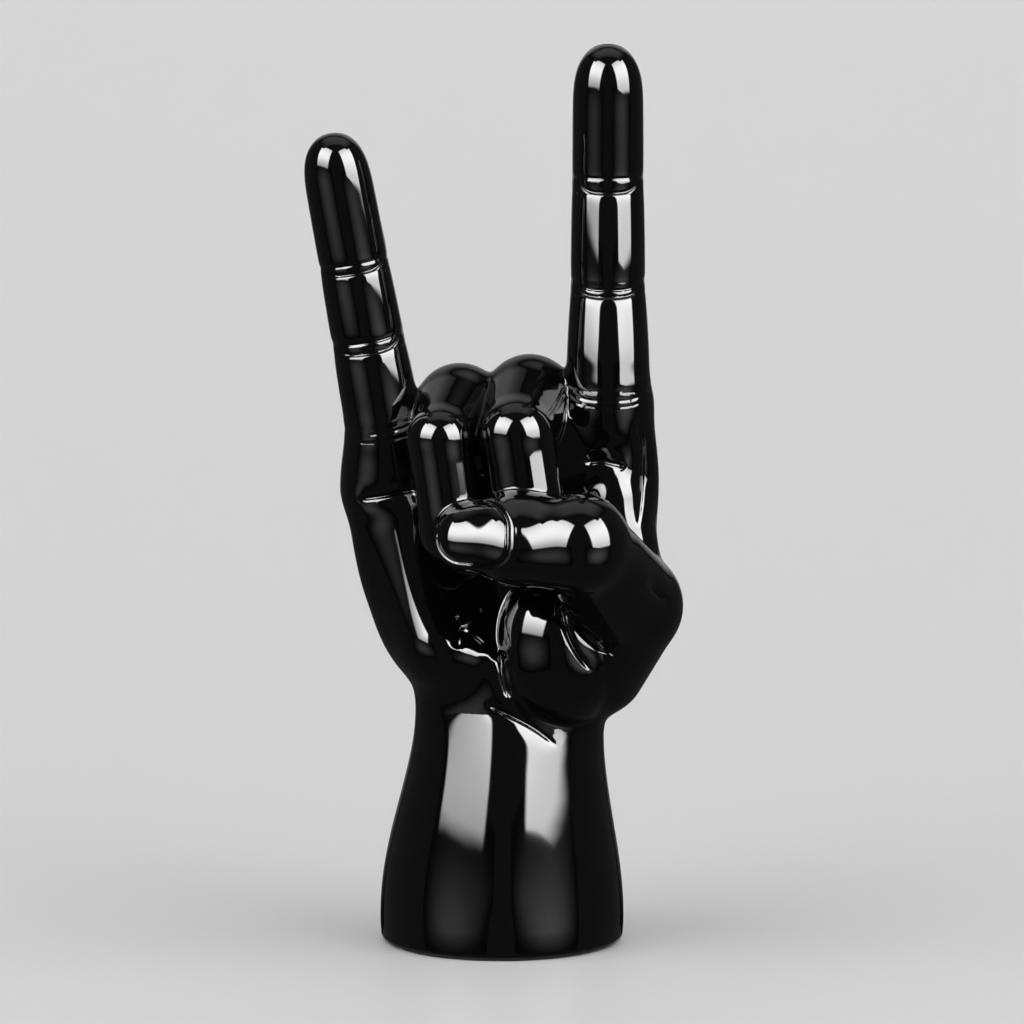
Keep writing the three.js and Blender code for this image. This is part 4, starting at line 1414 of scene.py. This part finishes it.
def card(name, azimuth, elevation, distance, half_width, half_height, *light):
    """A card that only shiny things show."""
    x, y = half_width * distance, half_height * distance
    corners = [(-x, -y, 0), (x, -y, 0), (x, y, 0), (-x, y, 0)]
    made = mesh_object(name, corners, [(0, 1, 2, 3)], glow(name, *light))
    made.data.uv_layers.new(name="UVMap").data.foreach_set("uv", [0, 0, 1, 0, 1, 1, 0, 1])
    aim(made, azimuth, elevation, distance)
    made.visible_camera = False
    made.visible_diffuse = False
    made.visible_shadow = False
    made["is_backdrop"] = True


def pale_paper():
    """Pale grey paper. It can't be seen from behind, so the sculpture shows from every side."""
    material, tree, shader = new_material("pale grey paper")
    finish = {"Roughness": 0.45, "Specular IOR Level": 0.3}
    feed(tree, shader, {"Base Color": (0.66, 0.66, 0.667, 1), **finish})
    behind = add_node(tree, "ShaderNodeNewGeometry", {})["Backfacing"]
    clear = add_node(tree, "ShaderNodeBsdfTransparent", {})["BSDF"]
    sides = {0: behind, 1: shader.outputs["BSDF"], 2: clear}
    either = add_node(tree, "ShaderNodeMixShader", sides)["Shader"]
    feed(tree, tree.nodes["Material Output"], {"Surface": either})
    return material


def cove():
    """The floor, and the backdrop that rises from it in a bend."""
    bend, start, side = COVE["bend"], COVE["bend_start"], COVE["half_width"]
    profile = [(COVE["front"], 0.0), (start, 0.0)]
    for turn in np.linspace(0, math.pi / 2, COVE["steps"] + 1)[1:]:
        profile.append((start + bend * math.sin(turn), bend * (1 - math.cos(turn))))
    profile.append((start + bend, COVE["top"]))
    vertices = [(x, y, z) for y, z in profile for x in (-side, side)]
    faces = [(2 * i, 2 * i + 1, 2 * i + 3, 2 * i + 2) for i in range(len(profile) - 1)]
    made = mesh_object("cove", vertices, faces, pale_paper())
    made.visible_glossy = False
    made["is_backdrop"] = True


def studio():
    """Light from all round, dimmer in reflections, and the pale wall behind everything."""
    world = bpy.data.worlds.new("studio")
    world.use_nodes = True
    tree = world.node_tree
    rays = add_node(tree, "ShaderNodeLightPath", {})
    levels = {"Value": rays["Is Glossy Ray"], "To Min": WORLD["lighting"], "To Max": WORLD["reflected"]}
    level = add_node(tree, "ShaderNodeMapRange", levels)["Result"]
    levels = {"Value": rays["Is Camera Ray"], "To Min": level, "To Max": WORLD["seen"]}
    level = add_node(tree, "ShaderNodeMapRange", levels)["Result"]
    feed(tree, tree.nodes["Background"], {"Color": (1, 1, 1, 1), "Strength": level})
    return world


class SCULPTURE_OT_stage(bpy.types.Operator):
    """Set up the floor, the backdrop, the lights and the camera"""

    bl_idname = "sculpture.stage"
    bl_label = "Stage"

    def execute(self, context):
        cove()
        for name, values in LAMPS.items():
            soft_box(name, *values)
        for name, values in CARDS.items():
            card(name, *values)
        camera = bpy.data.cameras.new("camera")
        camera.sensor_width = CAMERA["sensor"]
        camera.lens = CAMERA["sensor"] * CAMERA["sensors_away"]
        eye = add_object("camera", camera)
        eye.location = CAMERA["place"]
        eye.rotation_euler = (math.radians(90 + CAMERA["pitch"]), 0, 0)
        scene = context.scene
        scene.world = studio()
        scene.camera = eye
        scene.view_settings.view_transform = "Standard"
        return {"FINISHED"}


class SCULPTURE_PT_panel(bpy.types.Panel):
    bl_label = "Sculpture"
    bl_idname = "SCULPTURE_PT_panel"
    bl_space_type = "VIEW_3D"
    bl_region_type = "UI"
    bl_category = "Sculpture"

    def draw(self, context):
        for operator in OPERATORS:
            self.layout.operator(operator.bl_idname)


OPERATORS = (
    SCULPTURE_OT_castings,
    SCULPTURE_OT_board,
    SCULPTURE_OT_felt,
    SCULPTURE_OT_dowels,
    SCULPTURE_OT_stage,
)
SETTINGS = {
    "sculpture_lacquer": LacquerLook,
    "sculpture_skin": SkinSizes,
    "sculpture_foot": FootSizes,
}


def register():
    for cls in (*SETTINGS.values(), *OPERATORS, SCULPTURE_PT_panel):
        bpy.utils.register_class(cls)
    for name, cls in SETTINGS.items():
        setattr(bpy.types.Scene, name, PointerProperty(type=cls))


def unregister():
    for name in SETTINGS:
        delattr(bpy.types.Scene, name)
    for cls in (SCULPTURE_PT_panel, *reversed(OPERATORS), *reversed(SETTINGS.values())):
        bpy.utils.unregister_class(cls)


def main():
    register()
    bpy.ops.sculpture.castings()
    bpy.ops.sculpture.board()
    bpy.ops.sculpture.felt()
    bpy.ops.sculpture.dowels()
    bpy.ops.sculpture.stage()
    bounds = {"cad": cad_bounds, "visual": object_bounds()}
    {name: [list(corner) for corner in box] for name, box in bounds.items()}


if __name__ == "__main__":
    main()
